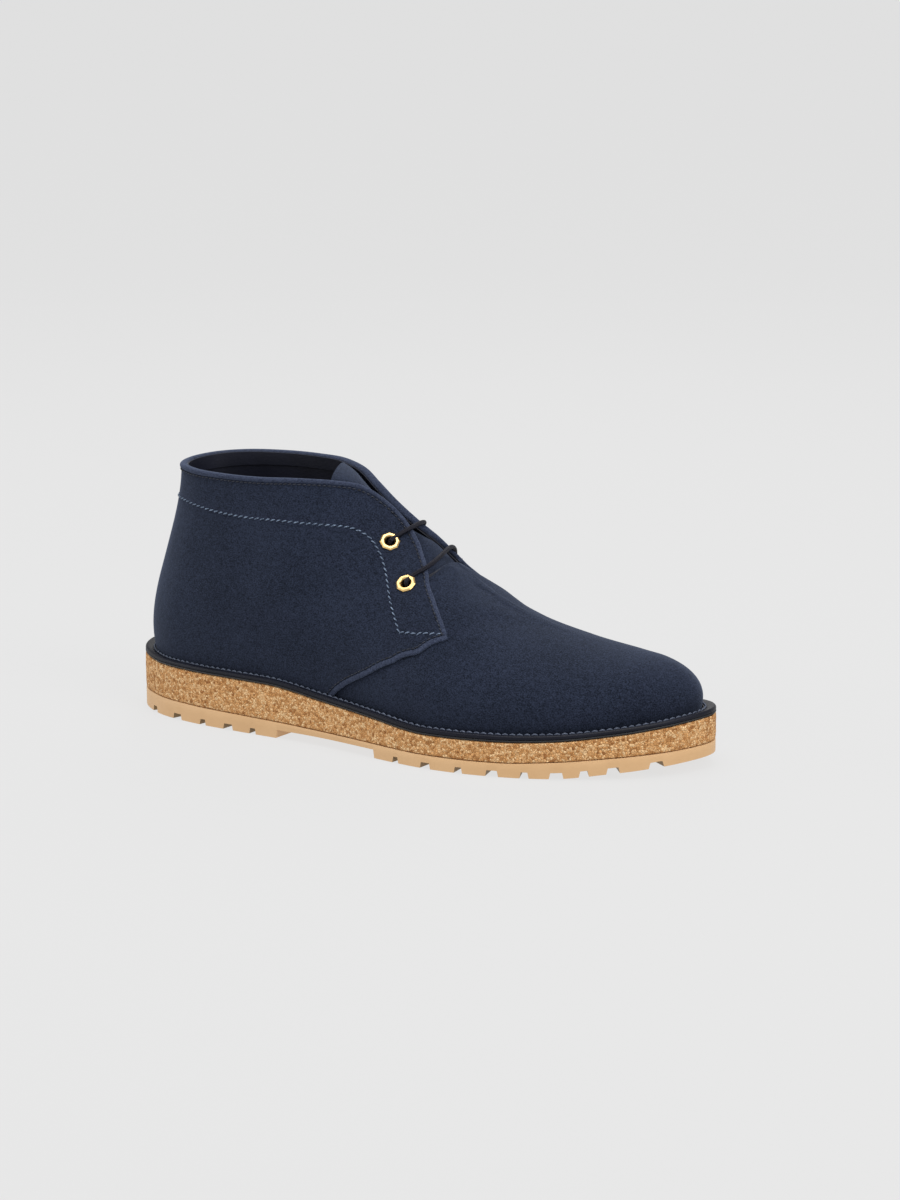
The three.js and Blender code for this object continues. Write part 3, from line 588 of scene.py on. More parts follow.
def tongue_grid(rows, across):
    """Points in mm: flanks at up = 1-under .. 1 on each side, and between them the cubic
    Bezier curve whose handles run on from the flanks. They lie sink mm under the last, and
    only tuck mm under the throat and, from row 8.6 on, at their inner edges. Near its top the
    inner side slips back by slip rows."""
    tucked, raised = ease((rows - 10) / (THROAT - 10)), ease((rows - 8.6) / 2.2)
    flank_sink = TONGUE["sink"] + (TONGUE["tuck"] - TONGUE["sink"]) * tucked
    edge_sink = TONGUE["sink"] + (TONGUE["tuck"] - TONGUE["sink"]) * raised
    sink = flank_sink[:, None] + (edge_sink - flank_sink)[:, None] \
        * np.array([0, 0, 0.05, 0.3, 0.65, 1])
    arch = TONGUE["arch"] * (0.45 + 0.55 * ease((rows - 6) / 4))[:, None]
    edge = 1 - TONGUE["shrink"] * np.maximum(rows - THROAT, 0)
    flanks = []
    slip = TONGUE["slip"] * (1 - ease((rows - 6) / 3))
    for sign, rows in ((1, rows), (-1, rows - slip)):
        ups = np.stack([0 * rows + 1 - TONGUE["under"] * k for k in (1, 0.83, 0.67, 0.5, 0.33)]
                       + [edge], -1)
        flanks.append(last(sign * rows[:, None], ups)
                      - sink[..., None] * last_normal(sign * rows[:, None], ups))
    left, right = flanks
    start, end = left[:, -1], right[:, -1]
    width = np.linalg.norm(end - start, axis=-1, keepdims=True)
    one = start + arch * width * unit(start - left[:, 3])
    two = end + arch * width * unit(end - right[:, 3])
    t = np.linspace(0, 1, across)[None, 1:-1, None]
    bridge = bezier(t, start[:, None], one[:, None], two[:, None], end[:, None])
    return np.concatenate([left, bridge, right[:, ::-1]], 1)


points = tongue_grid(np.linspace(TONGUE["top"], TONGUE["foot"], 72), 20)
tongue = sheet_piece("tongue_suede", points)
finish_piece(tongue, replaced=["tongue"], thickness=TONGUE["thick"] * MM,
             bevel=0.5 * MM, rim=1)

# %% [markdown]
# ## Rolled collar
# The topline is bound with a folded strip that leaves a firm round edge. It is a tube with a
# superellipse section, carried from the heel along the topline and on down the front of both
# facings, where it is narrower.

# %% A tube along a path with its own frame
def tube(path, across, upward, half_across, half_up, around, power=1.0):
    """Grid of a tube: path + a cos(t)^p across + b sin(t)^p upward, with both ends closed on
    the path."""
    turn = np.arange(around) * 2 * np.pi / around
    c, s = np.cos(turn), np.sin(turn)
    c, s = np.sign(c) * np.abs(c) ** power, np.sign(s) * np.abs(s) ** power
    body = path[:, None] + (half_across[:, None] * c)[..., None] * across[:, None] \
        + (half_up[:, None] * s)[..., None] * upward[:, None]
    ends = [np.broadcast_to(path[k], (1, around, 3)) for k in (0, -1)]
    return np.concatenate([ends[0], body, ends[1]], 0)


BINDING = {  # on the collar and on the facing's front edge, in mm
    "across": (2.0, 0.95), "up": (1.35, 1.15), "sink": (0.40, -0.30), "drop": (0.95, 0.65)}
FRONT_ROWS = (8.3, 12.0)  # the rows between which the collar's sizes turn into the front's
EDGE_TURN = np.array([  # row and up, from the topline round the facing's corner and down
    [11.0, 1.0], [11.6, 0.995], [12.0, 0.965], [12.25, 0.91], [12.67, 0.792], [13.1, 0.647],
    [13.5, 0.503]])
NEAR_TOP = 0.985  # a normal at the topline is taken this far up, where the surface is regular


def edge_line(table, sign, count):
    """A line of (row, up) on one side: rows, points, normals and normal x tangent, which
    points to the topline's side of a line that runs forward."""
    rows, ups = along(table, np.linspace(0, 1, count)).T
    rows, ups = sign * np.maximum(rows, 1e-6), np.minimum(ups, 1)
    points, normal = last(rows, ups), last_normal(rows, np.minimum(ups, NEAR_TOP))
    return rows, points, normal, unit(np.cross(normal, sign * np.gradient(points, axis=0)))


def bound_edge(sign, count):
    """The edge from the heel along the topline and down the front of one side: points,
    normals, directions out of the panel and 0 .. 1 from collar to front."""
    topline = np.stack([np.linspace(0, EDGE_TURN[0, 0] - 0.6, 27), np.ones(27)], -1)
    rows, points, normal, out = edge_line(np.concatenate([topline, EDGE_TURN]), sign, count)
    start, full = FRONT_ROWS
    return points, normal, out, ease((np.abs(rows) - start) / (full - start))


halves = [bound_edge(sign, 190) for sign in (-1, 1)]
top, normal, out, share = (np.concatenate([one[::-1], two[1:]]) for one, two in zip(*halves))
size = {key: (1 - share) * a + share * b for key, (a, b) in BINDING.items()}
path = top - size["sink"][:, None] * normal - size["drop"][:, None] * out
points = tube(path, normal, out, size["across"], size["up"], 16, 0.85)
binding = ring_piece("collar_binding", points)
finish_piece(binding)

# %% The quarter's lower edge is folded over and stands up as a narrow band
BAND = {"proud": 0.4, "in": 0.7, "half_thick": 0.6325, "half_wide": 1.265}
bands = []
for side in SIDES.values():
    _, points, normal, up = edge_line(LOWER_EDGE, side, 90)
    one = np.ones(len(points))
    bands.append(tube(points + BAND["proud"] * normal + BAND["in"] * up, normal, up,
                      BAND["half_thick"] * one, BAND["half_wide"] * one, 12, 0.6))
one = grid_faces(*bands[0].shape[:2], close_columns=True)
folded = make_piece("folded_edge", to_frame(np.stack(bands)),
                    np.concatenate([one, one + bands[0][..., 0].size]))
finish_piece(folded)

# %% The binding's turned-in side: a leather strip inside the topline
TURN_IN = {"row": 11.9, "low": 0.925, "high": 0.995, "sink": 2.65, "thick": 0.7}
rows = np.linspace(-TURN_IN["row"], TURN_IN["row"], 220)[:, None]
strip_ups = np.linspace(TURN_IN["low"], TURN_IN["high"], 8)[None]
points = last(rows, strip_ups) - TURN_IN["sink"] * last_normal(rows, strip_ups)
turn_in = sheet_piece("collar_turn_in", points, flip=-1)
finish_piece(turn_in, thickness=TURN_IN["thick"] * MM, bevel=0.2 * MM)

# %% [markdown]
# ## Sole layers
# Welt, crepe wedge and lugged outsole share one outline: the feather line moved outward,
# more at the toe and heel than at the sides. Each layer is a section carried round that
# outline. The last point of every section lies on the middle line of the foot, so the ring
# closes into a solid.

# %% The sole's outline, and a section carried round it
WELT = {"side": 5.2, "ends": 7.9, "thick": 3.0, "rand": 0.9}


def sole_edge(row):
    """Edge of the sole in mm at rows of the ring: feather + reach * normal, with
    reach = side + (ends - side) * normal_x^2."""
    line, normal = feather(row)
    reach = WELT["side"] + (WELT["ends"] - WELT["side"]) * normal[..., :1] ** 2
    return line + reach * normal, normal


def layered(row, inset, height, middle_height):
    """Grid (place, section): the edge moved inward by inset mm at height mm for each point
    of the section, between two points on the middle line."""
    edge, normal = sole_edge(row)
    other, _ = sole_edge(-row)
    body = edge[:, None] - inset[..., None] * normal[:, None]
    body[..., 2] = height
    middle = (edge + other) / 2
    ends = np.repeat(middle[:, None], 2, 1)
    ends[..., 2] = middle_height
    return np.concatenate([ends[:, :1], body, ends[:, 1:]], 1)


RING_SPANS = [(-TOE, 4 - TOE, 60), (4 - TOE, -2.5, 150), (-2.5, 2.5, 70), (2.5, TOE - 4, 150),
              (TOE - 4, TOE, 60)]  # first and last row, count: closer round toe and heel
ring_rows = np.concatenate([[-TOE], *(np.linspace(*span)[1:] for span in RING_SPANS)])
edge, _ = sole_edge(ring_rows)
print(f"the sole's edge is {distances(edge)[-1]:.0f} mm round")

# %% Welt and the thin rand below it
edge, normal = sole_edge(ring_rows)
foot, _ = feather(ring_rows)
wall_points = last(ring_rows[:, None], np.linspace(0, 0.16, 17)[None])
bulge = np.einsum("ijk,ik->ij", wall_points - foot[:, None], normal)
rise = wall_points[..., 2] - foot[:, None, 2]
# How far the upper stands out beyond the feather line just above the welt.
inner = np.array([np.interp(WELT["thick"] + 0.2, r, b) for r, b in zip(rise, bulge)]) + GAP
crepe_top = sole_height(3, edge[:, 0]) + GAP
reach = np.linalg.norm((edge - foot)[:, :2], axis=1)
WELT_SECTION = [  # share of the way from the upper (0) to the edge (1), height mm, inset mm
    (0, 1.0, 0), (0, 2.9, 0), (0, 3.1, -0.3), (0, 2.75, -0.9), (0, 2.7, -1.3), (0, 3.0, -1.9),
    (1, 3.0, 1.1), (1, 2.8, 0.45), (1, 2.35, 0.1), (1, 1.6, 0.0), (1, 1.15, 0.1), (1, 1.0, 0.5),
]
section = []
for share, height, inset in WELT_SECTION:
    distance = np.where(share == 0, inner, reach) - inset
    point = foot + distance[:, None] * normal
    point[:, 2] = crepe_top + height + (foot[:, 2] - crepe_top) * (1 - share)
    section.append(point)
points = np.stack(section, 1)
welt = ring_piece("welt_strip", points)
finish_piece(welt, replaced=["welt"])
RAND_SECTION = np.array([  # inset mm, height mm
    [0.6, 0.05], [0.15, 0.1], [0.0, 0.35], [0.0, 0.65], [0.15, 0.9], [0.6, 0.95]])
height = crepe_top[:, None] + RAND_SECTION[:, 1]
middle_x = (edge[:, 0] + edge[::-1, 0]) / 2
middle_top = sole_height(3, middle_x) + GAP
rand = ring_piece("rand", layered(
    ring_rows, np.broadcast_to(RAND_SECTION[:, 0], height.shape), height,
    np.stack([middle_top, middle_top + WELT["rand"]], -1)))
finish_piece(rand)

# %% Crepe wedge: its sanded side is slightly uneven
def unevenness(points, size, seed):
    """From -1 to 1 over size mm: the mean of six sine waves with seeded directions."""
    random = np.random.default_rng(seed)
    wave = unit(random.normal(size=(6, 3))) * (2 * np.pi / size)
    return np.sin(points @ wave.T + random.uniform(0, 2 * np.pi, 6)).mean(-1)


bottom, topside = sole_height(2, edge[:, 0]) + GAP, sole_height(3, edge[:, 0])
share = np.concatenate([[0, 0.02, 0.06], np.linspace(0.14, 0.86, 9), [0.94, 0.98, 1]])
inset = np.concatenate([[0.5, 0.15, 0.02], np.zeros(9), [0.02, 0.15, 0.5]])
height = bottom[:, None] + (topside - bottom)[:, None] * share
middle = np.stack([sole_height(2, middle_x) + GAP, sole_height(3, middle_x)], -1)
points = layered(ring_rows, np.broadcast_to(inset, height.shape), height, middle)
proud = 0.16 * unevenness(points, 3.1, 4) + 0.10 * unevenness(points, 1.9, 5)
proud[:, [0, -1]] = 0
points = points + proud[..., None] * normal[:, None]
crepe = ring_piece("crepe_wedge", points)
finish_piece(crepe, replaced=["midsole"])

# %% [markdown]
# ## Lugged outsole
# The gum outsole is moulded with square lugs round its edge, an open arch and a few cross
# bars. The section's bottom height changes round the outline: it steps up into each gap and
# over the arch, with sloping walls, and a bevel rounds the moulded edges.

# %% Outsole
LUG_GAPS = np.array([  # x, width
    [21.7, 3.1], [40.2, 4.8], [57.6, 2.8], [73.5, 4.8], [88.5, 2.8], [175.5, 2.4],
    [192.5, 4.4], [209.6, 3], [225.7, 4.8], [240.2, 2.8], [253.6, 4.8], [264.7, 2.8],
    [275.9, 4], [291.3, 4]])
ARCH = {"from": 103.1, "to": 162.1, "height": 4.0}
LUG = {"depth": 2.8, "reach": 15.0, "flare": 0.6, "lip": 0.5}
BARS = {"x": [30, 49, 66, 82, 184, 201, 218, 234, 248, 262], "width": 9.0, "sink": 0.5}


def lug_columns(sign):
    """Rows along one side with a pair at each sloping wall, and how far each is raised:
    0 on a lug, 1 in a gap, 2 on the arch."""
    fine = np.linspace(0, TOE, 2000)
    x_of = sole_edge(sign * np.maximum(fine, 1e-6))[0][:, 0]
    half = LUG_GAPS[:, 1] / 2
    walls = [(LUG_GAPS[:, 0] - half - LUG["flare"], 0), (LUG_GAPS[:, 0] - half, 1),
             (LUG_GAPS[:, 0] + half, 1), (LUG_GAPS[:, 0] + half + LUG["flare"], 0),
             (np.array([ARCH["from"] - LUG["flare"], ARCH["to"] + LUG["flare"]]), 0),
             (np.array([ARCH["from"], ARCH["to"]]), 2)]
    wall_x = np.concatenate([x for x, _ in walls])
    wall_state = np.concatenate([np.full(len(x), state) for x, state in walls])
    wall_row = np.interp(wall_x, x_of, fine)
    plain = np.linspace(0, TOE, 150)
    plain = plain[np.abs(plain[:, None] - wall_row).min(1) > 0.05]
    x = np.interp(plain, fine, x_of)
    in_gap = (np.abs(x[:, None] - LUG_GAPS[:, 0]) < half).any(1)
    in_arch = (x > ARCH["from"]) & (x < ARCH["to"])
    state = np.where(in_arch, 2, np.where(in_gap, 1, 0))
    row, state = np.concatenate([plain, wall_row]), np.concatenate([state, wall_state])
    order = np.argsort(row)
    return row[order], state[order]


row_side, state_side = lug_columns(1)
out_rows = np.concatenate([-row_side[::-1], row_side[1:]])
states = np.concatenate([state_side[::-1], state_side[1:]])
edge, normal = sole_edge(out_rows)
x = edge[:, 0]
ground, topside = sole_height(1, x), sole_height(2, x)
raised = ground + LUG["depth"]
bottom = np.choose(states, [ground, raised, 0 * x + ARCH["height"]])
recess = np.where(states == 2, ARCH["height"], raised)
inset = np.array([1.0, LUG["lip"] * 0.4, 0.0, 0.0, 0.0, LUG["reach"], LUG["reach"] + 0.6])
height = np.stack([topside, topside - 0.1, topside - LUG["lip"], (topside + bottom) / 2, bottom,
                   bottom, recess], -1)
middle_x = (x + x[::-1]) / 2
in_arch = (middle_x > ARCH["from"]) & (middle_x < ARCH["to"])
middle_low = np.where(in_arch, ARCH["height"], sole_height(1, middle_x) + LUG["depth"])
points = layered(out_rows, np.broadcast_to(inset, height.shape), height,
                 np.stack([sole_height(2, middle_x), middle_low], -1))
faces = grid_faces(*points.shape[:2], close_columns=True)
# The gaps' faces from the bottom inward take the second material: gum painted darker as the shade
# inside the deep gaps.
column_of, section_of = faces[:, 0] // points.shape[1], faces[:, 0] % points.shape[1]
in_gap = (states[column_of] == 1) | (states[np.minimum(column_of + 1, len(states) - 1)] == 1)
outsole = make_piece("outsole_rubber", to_frame(points), faces,
                     parts=(in_gap & (section_of >= 5)).astype(np.int32))
outsole.data.set_sharp_from_angle(angle=math.radians(35))
finish_piece(outsole, replaced=["outsole"], bevel=0.4 * MM, angle=35)

# %% Cross bars under the heel and the forefoot
rim_lines = []
for sign in (1, -1):
    line, out = sole_edge(sign * np.linspace(0.01, TOE, 1500))
    rim_lines.append(line - (LUG["reach"] - BARS["sink"]) * out)
bars = []
for bar_x in BARS["x"]:
    u = np.linspace(-1, 1, 13)[:, None]
    xs = bar_x + u * BARS["width"] / 2 * np.array([1, 0.94, 0.94, 1])
    ys = np.concatenate([np.interp(xs[:, k], line[:, 0], line[:, 1])
                         for line, k in zip(rim_lines, ([0, 1], [2, 3]))], 1)
    rise = LUG["depth"] + BARS["sink"]
    section = np.stack([xs, ys, sole_height(1, xs) + np.array([rise, 0.02, 0.02, rise])], -1)
    middle = np.broadcast_to(section[[0, -1]].mean(1, keepdims=True), (2, 4, 3))
    bars.append(np.concatenate([middle[:1], section, middle[1:]], 0))
bars = np.stack(bars)
one = grid_faces(bars.shape[1], 4, close_columns=True)
faces = np.concatenate([one + k * bars.shape[1] * 4 for k in range(len(bars))])
tread_bars = make_piece("tread_bars", to_frame(bars), faces)
tread_bars.data.set_sharp_from_angle(angle=math.radians(35))
finish_piece(tread_bars, bevel=0.3 * MM)

# %% [markdown]
# ## Brass eyelets
# Each eyelet is an eight-sided brass washer with a round barrel that is rolled over inside.
# It is a lathe section carried once round, and the outer rings of the section are pulled
# out to an octagon.

# %% Eyelets
EYELET_SECTION = [  # radius mm, height above the last mm, 1 where the ring is octagonal
    (2.20, -2.2, 0), (2.80, -2.75, 0), (3.90, -2.6, 0), (4.10, -2.3, 0), (3.20, -2.1, 0),
    (3.10, 0.8, 0), (4.35, 0.82, 1), (4.50, 0.95, 1), (4.50, 1.4, 1), (3.85, 2.0, 1),
    (3.05, 2.0, 0), (2.50, 1.6, 0), (2.25, 1.1, 0), (2.20, 0.6, 0),
]


def eyelet_points(centre, axis, around=32, sides=8):
    """Ring points centre + r(turn) (cos e1 + sin e2) + h axis; on an octagonal ring
    r = radius / cos(turn from the middle of the side)."""
    turn = np.arange(around) * 2 * np.pi / around
    flat = 1 / np.cos((turn % (2 * np.pi / sides)) - np.pi / sides)
    first = unit(np.cross(axis, UPWARD))
    second = np.cross(axis, first)
    table = np.array(EYELET_SECTION)
    radius = table[:, :1] * np.where(table[:, 2:] == 1, flat[None], 1)
    return centre + radius[..., None] * (np.cos(turn)[:, None] * first
                                         + np.sin(turn)[:, None] * second) \
        + table[:, 1][:, None, None] * axis


brass_pieces = []
for name in EYELETS:
    points = eyelet_points(*seat(name))
    piece = make_piece("brass_" + name, to_frame(points),
                       grid_faces(*points.shape[:2], close_rows=True, close_columns=True))
    piece.data.set_sharp_from_angle(angle=math.radians(28))
    brass_pieces.append(finish_piece(piece, replaced=["eyelet_" + name]))

# %% [markdown]
# ## Lace
# One waxed cord crosses the facings twice and runs hidden between lining and tongue from
# each inner eyelet to the next. Both of its ends stop behind the top outer eyelet. Its
# route is a smooth curve through a short list of places beside the eyelets.

# %% The lace's route
LACE = {"radius": 1.1, "clear": 1.0, "depth": 3.4, "around": 12}
CROSS = {  # row where the lace passes over the facing's edge
    "lateral_upper": 9.35, "medial_upper": -9.3, "lateral_lower": 11.6, "medial_lower": -11.1}


def beside(name, lift, lean, other):
    """A place lift mm out along an eyelet's axis and lean mm toward the other eyelet."""
    centre, axis = seat(name)
    return centre + lift * axis + lean * unit(seat(other)[0] - centre)


def over_edge(name):
    """Where the lace passes over the facing's edge beside an eyelet."""
    row = CROSS[name]
    return last(row, 1.0) + (LACE["radius"] + LACE["clear"]) * last_normal(row, NEAR_TOP)


def bar(one, two):
    """Out of eyelet one, over both edges and into eyelet two."""
    return [beside(one, -2.0, 0, two), beside(one, 0.6, 0.3, two), beside(one, 2.3, 1.1, two),
            beside(one, 3.3, 3.0, two), over_edge(one), over_edge(two),
            beside(two, 3.3, 3.0, one), beside(two, 2.3, 1.1, one),
            beside(two, 0.6, 0.3, one), beside(two, -2.0, 0, one)]


def hidden(one, two, start, end):
    """Between lining and tongue, LACE depth under the last, along a share of the way."""
    place = np.array([EYELETS[one], EYELETS[two]])
    shares = np.linspace(start, end, 3)[:, None]
    rows, ups = (place[0] + shares * (place[1] - place[0])).T
    return list(last(rows, ups) - LACE["depth"] * last_normal(rows, ups))


route = hidden("lateral_upper", "lateral_lower", 0.04, 0.0)[1:]
route += bar("lateral_upper", "medial_upper")
route += hidden("medial_upper", "medial_lower", 0.12, 0.88)
route += bar("medial_lower", "lateral_lower")
route += hidden("lateral_lower", "lateral_upper", 0.12, 0.80)
route = np.array(route)
# A cubic through the route by its distance, and a section that stays square to it.
knots = distances(route)
t = np.linspace(0, knots[-1], 360)
path = np.stack([cubic(knots, route[:, k], t) for k in range(3)], -1)
tangent = unit(np.gradient(path, axis=0))
aside = np.array([0.6, 0.0, 0.8])
across = unit(aside - (tangent @ aside)[:, None] * tangent)
size = np.full(len(path), LACE["radius"])
points = tube(path, across, np.cross(tangent, across), size, size, LACE["around"])
length = distances(path)
uv = np.stack(np.broadcast_arrays(np.concatenate([[0], length, length[-1:]])[:, None],
                                  np.arange(LACE["around"]) / LACE["around"]), -1)
lace = ring_piece("lace_cord", points, uv=uv)
finish_piece(lace, replaced=["lace_bar_upper", "lace_bar_lower"])
float(length[-1] * MM)
print(f"the lace's path is {length[-1]:.0f} mm long")

# %% [markdown]
# ## Stitching
# A stitch is a short thread that dips into the leather at both ends. Hundreds of them are
# one mesh: a unit stitch of a few dozen faces, placed at equal distances along a seam.

# %% Stitches along a seam
def stitch_run(path, normal, pitch, length, radius, inset=0.0, slant=0.0):
    """Grids (stitch, along, around): centre + x tangent + (lift (1 - 1.3 s^2) + r cos) normal
    + r sin side, with s from -1 to 1 along the stitch and r = radius sqrt(1 - (0.9 s)^2).
    The seam lies inset mm to the side of the path, and slant turns each stitch, in radians."""
    distance = distances(path)
    centres = np.arange(pitch / 2, distance[-1] - pitch / 3, pitch)
    pick = lambda values: np.stack([np.interp(centres, distance, values[:, k])
                                    for k in range(3)], -1)
    centre, out, forward = pick(path), unit(pick(normal)), unit(pick(np.gradient(path, axis=0)))
    side = unit(np.cross(out, forward))
    centre = centre + inset * side
    c, s = math.cos(slant), math.sin(slant)
    forward, side = c * forward + s * side, c * side - s * forward
    along = np.array([-1, -0.72, 0, 0.72, 1])[:, None, None]
    turn = (np.arange(6) * np.pi / 3)[None, :, None]
    r = radius * np.sqrt(1 - (0.9 * along) ** 2)
    height = 0.8 * radius * (1 - 1.3 * along ** 2) + r * np.cos(turn)
    grid = centre[:, None, None] + along * length / 2 * forward[:, None, None] \
        + height * out[:, None, None] + r * np.sin(turn) * side[:, None, None]
    ends = grid.mean(2, keepdims=True)[:, [0, -1]].repeat(6, 2)
    return np.concatenate([ends[:, :1], grid, ends[:, 1:]], 1)


def stitched(name, runs):
    """All stitches of one thread as one piece."""
    grids = np.concatenate(runs)
    one = grid_faces(grids.shape[1], 6, close_columns=True)
    offset = np.arange(len(grids))[:, None, None] * grids.shape[1] * 6
    piece = make_piece(name, to_frame(grids), (one[None] + offset).reshape(-1, 4), weld=1e-6)
    finish_piece(piece)
    print(len(grids), "stitches")
    return piece


def seam(table, side):
    """A seam on a quarter, given as (row, up) on one side: its points and normals."""
    rows, ups = along(np.array(table, float), np.linspace(0, 1, 400)).T
    return skin(side * rows, ups, QUARTER_OUT), last_normal(side * rows, ups)


# %% The quarter's decorative seam, its edge seams and the welt's seam
PANEL_SEAM = [[0.05, 0.842], [1.57, 0.835], [3.1, 0.797], [4.6, 0.782], [5.55, 0.777],
              [6.65, 0.783], [7.32, 0.79], [7.92, 0.787], [8.38, 0.76], [8.82, 0.713],
              [9.15, 0.66], [9.48, 0.603], [9.9, 0.547], [10.35, 0.492]]
PANEL_FOOT = [[10.35, 0.492], [10.75, 0.512], [11.42, 0.547], [12.13, 0.565], [12.7, 0.54],
              [13.25, 0.516]]
panel_runs, edge_runs = [], []
for side in SIDES.values():
    for table in (PANEL_SEAM, PANEL_FOOT):
        panel_runs.append(stitch_run(*seam(table, side), 3.1, 2.5, 0.40, slant=side * 0.38))
    top, normal, out, share = bound_edge(side, 400)
    below = 2.75 - 0.75 * share
    path = top + QUARTER_OUT * normal - below[:, None] * out
    edge_runs.append(stitch_run(path, normal, 2.4, 2.0, 0.36, slant=side * 0.15))
    edge_runs.append(stitch_run(*seam(LOWER_EDGE, side), 2.4, 2.0, 0.30, inset=side * 2.6))
panel_thread = stitched("panel_stitching", panel_runs)
edge_thread = stitched("edge_stitching", edge_runs)
path = foot + (inner + 1.35)[:, None] * sole_edge(ring_rows)[1]
path[:, 2] = foot[:, 2] + WELT["thick"] - 0.18
welt_thread = stitched("welt_stitching", [stitch_run(
    path, np.broadcast_to(UPWARD, path.shape), 3.4, 3.1, 0.52)])

# %% [markdown]
# ## Finishes
# All finishes are procedural. A small class turns Python expressions on sockets into Math
# nodes, and one method adds every other node.

# %% Sockets as values, and a finish
class Value:
    """A shader socket in an expression: each operator adds one Math node."""

    def __init__(self, finish, socket):
        self.finish, self.socket = finish, socket

    def math(self, operation, one, two):
        return self.finish.node("ShaderNodeMath", {"operation": operation}, {0: one, 1: two})

    def __add__(self, other): return self.math("ADD", self, other)
    def __radd__(self, other): return self.math("ADD", other, self)
    def __sub__(self, other): return self.math("SUBTRACT", self, other)
    def __rsub__(self, other): return self.math("SUBTRACT", other, self)
    def __mul__(self, other): return self.math("MULTIPLY", self, other)
    def __rmul__(self, other): return self.math("MULTIPLY", other, self)


class Finish:
    """A material: node() adds any node, surface() ends it with a Principled shader."""

    def __init__(self, name):
        self.material = bpy.data.materials.new(name)
        self.material.use_nodes = True
        self.tree = self.material.node_tree
        self.tree.nodes.clear()

    def node(self, kind, settings=None, inputs=None, output=0):
        """Adds a node. settings are its properties, with a ramp's stops as "stops"; inputs
        are values, colours or links by socket."""
        made = self.tree.nodes.new(kind)
        for name, value in (settings or {}).items():
            if name == "stops":
                ramp = made.color_ramp
                while len(ramp.elements) < len(value):
                    ramp.elements.new(0.5)
                for element, (position, colour) in zip(ramp.elements, value):
                    element.position, element.color = position, (*colour, 1)
            else:
                setattr(made, name, value)
        for socket, value in (inputs or {}).items():
            if isinstance(value, Value):
                self.tree.links.new(value.socket, made.inputs[socket])
            else:
                made.inputs[socket].default_value = value
        return Value(self, made.outputs[output])

    def place(self):
        """Object coordinates, in metres."""
        return self.node("ShaderNodeTexCoord", output="Object")

    def noise(self, scale, detail=2.0, roughness=0.5, vector=None):
        """A noise pattern with features about 1/scale metres across, from 0 to 1."""
        return self.node("ShaderNodeTexNoise", None, {
            "Vector": vector or self.place(), "Scale": scale, "Detail": detail,
            "Roughness": roughness}, "Fac")

    def cells(self, feature, scale, output):
        """A Voronoi pattern of cells about 1/scale metres across."""
        return self.node("ShaderNodeTexVoronoi", {"feature": feature}, {
            "Vector": self.place(), "Scale": scale}, output)

    def stretched(self, scale):
        """Object coordinates scaled apart along the three axes."""
        return self.node("ShaderNodeMapping", None, {"Vector": self.place(), "Scale": scale})

    def ramp(self, factor, stops):
        """A colour ramp."""
        return self.node("ShaderNodeValToRGB", {"stops": stops}, {0: factor}, "Color")

    def mix(self, factor, one, two):
        """One colour mixed into another."""
        return self.node("ShaderNodeMix", {"data_type": "RGBA"}, {
            "Factor": factor, 6: one, 7: two}, 2)

    def bump(self, height, strength, distance):
        """A bump: distance in metres for a height of 1."""
        return self.node("ShaderNodeBump", None, {
            "Height": height, "Strength": strength, "Distance": distance})

    def surface(self, inputs):
        """Ends the finish: a Principled shader on the material's output."""
        shader = self.node("ShaderNodeBsdfPrincipled", None, inputs)
        output = self.tree.nodes.new("ShaderNodeOutputMaterial")
        self.tree.links.new(shader.socket, output.inputs["Surface"])
        return self.material


print("finishes are ready")

# %% [markdown]
# ## Suede
# Suede is the split side of the hide: a short nap that goes lighter where it has been
# brushed one way. Three scales show: soft clouds where hands have stroked it, a mottle of a
# few millimetres, and the fibres themselves. A little sheen lifts the edges.

# %% Suede, and its paler cut edge
def suede(name, dark, light, mottle=1.0):
    """Navy suede: clouds + mottle + fibre choose between two blues, and the fibres bump."""
    finish = Finish(name)
    clouds = finish.noise(28, 3, 0.55)
    grain = finish.noise(1.0, 3, 0.6, finish.stretched((420, 420, 620)))
    fibre = finish.noise(1.0, 2, 0.6, finish.stretched((1500, 1500, 2100)))
    nap = 0.5 + mottle * (0.45 * (clouds - 0.5) + 0.7 * (grain - 0.5) + 2.2 * (fibre - 0.5))
    colour = finish.ramp(nap, [(0.15, dark), (0.85, light)])
    normal = finish.bump(fibre + 0.8 * grain, 0.55, 0.00022)
    return finish.surface({
        "Base Color": colour, "Roughness": 0.95, "Normal": normal, "Specular IOR Level": 0.15,
        "Sheen Weight": 0.22, "Sheen Roughness": 0.45, "Sheen Tint": (0.45, 0.55, 0.8, 1)})


SUEDE = suede("navy_suede", (0.0025, 0.0045, 0.0105), (0.0205, 0.0275, 0.0510))
RAW_EDGE = suede("cut_edge", (0.030, 0.038, 0.068), (0.075, 0.090, 0.145))
# The binding and the folded edge take a lighter copy of the navy suede: a painted highlight for
# the light that their rounded edges catch.
ROLLED_LIT_SUEDE = suede("rolled_suede_painted_highlight", (0.016, 0.021, 0.040), (0.046, 0.058, 0.098))
print("suede done")

# %% Lining and welt leather: smooth, with fine pores
def smooth_leather(name, dark, light, roughness, specular=0.5):
    """Dyed leather: a Voronoi grain of pores over a faint cloud of colour."""
    finish = Finish(name)
    cloud = finish.noise(60, 3, 0.5)
    pores = finish.cells("F1", 900, "Distance")
    return finish.surface({
        "Base Color": finish.ramp(cloud, [(0.3, dark), (0.7, light)]),
        "Roughness": roughness + 0.12 * cloud, "Specular IOR Level": specular,
        "Normal": finish.bump(pores, 0.4, 0.00012)})


LINING = smooth_leather("lining_leather", (0.0035, 0.0045, 0.013), (0.006, 0.0075, 0.020), 0.5)
WELT_LEATHER = smooth_leather("welt_leather", (0.0018, 0.0024, 0.0070), (0.0042, 0.0052, 0.0130),
                              0.42, 0.22)
RAND_LEATHER = smooth_leather("rand_leather", (0.004, 0.004, 0.006), (0.007, 0.007, 0.009), 0.5)
print("leathers done")
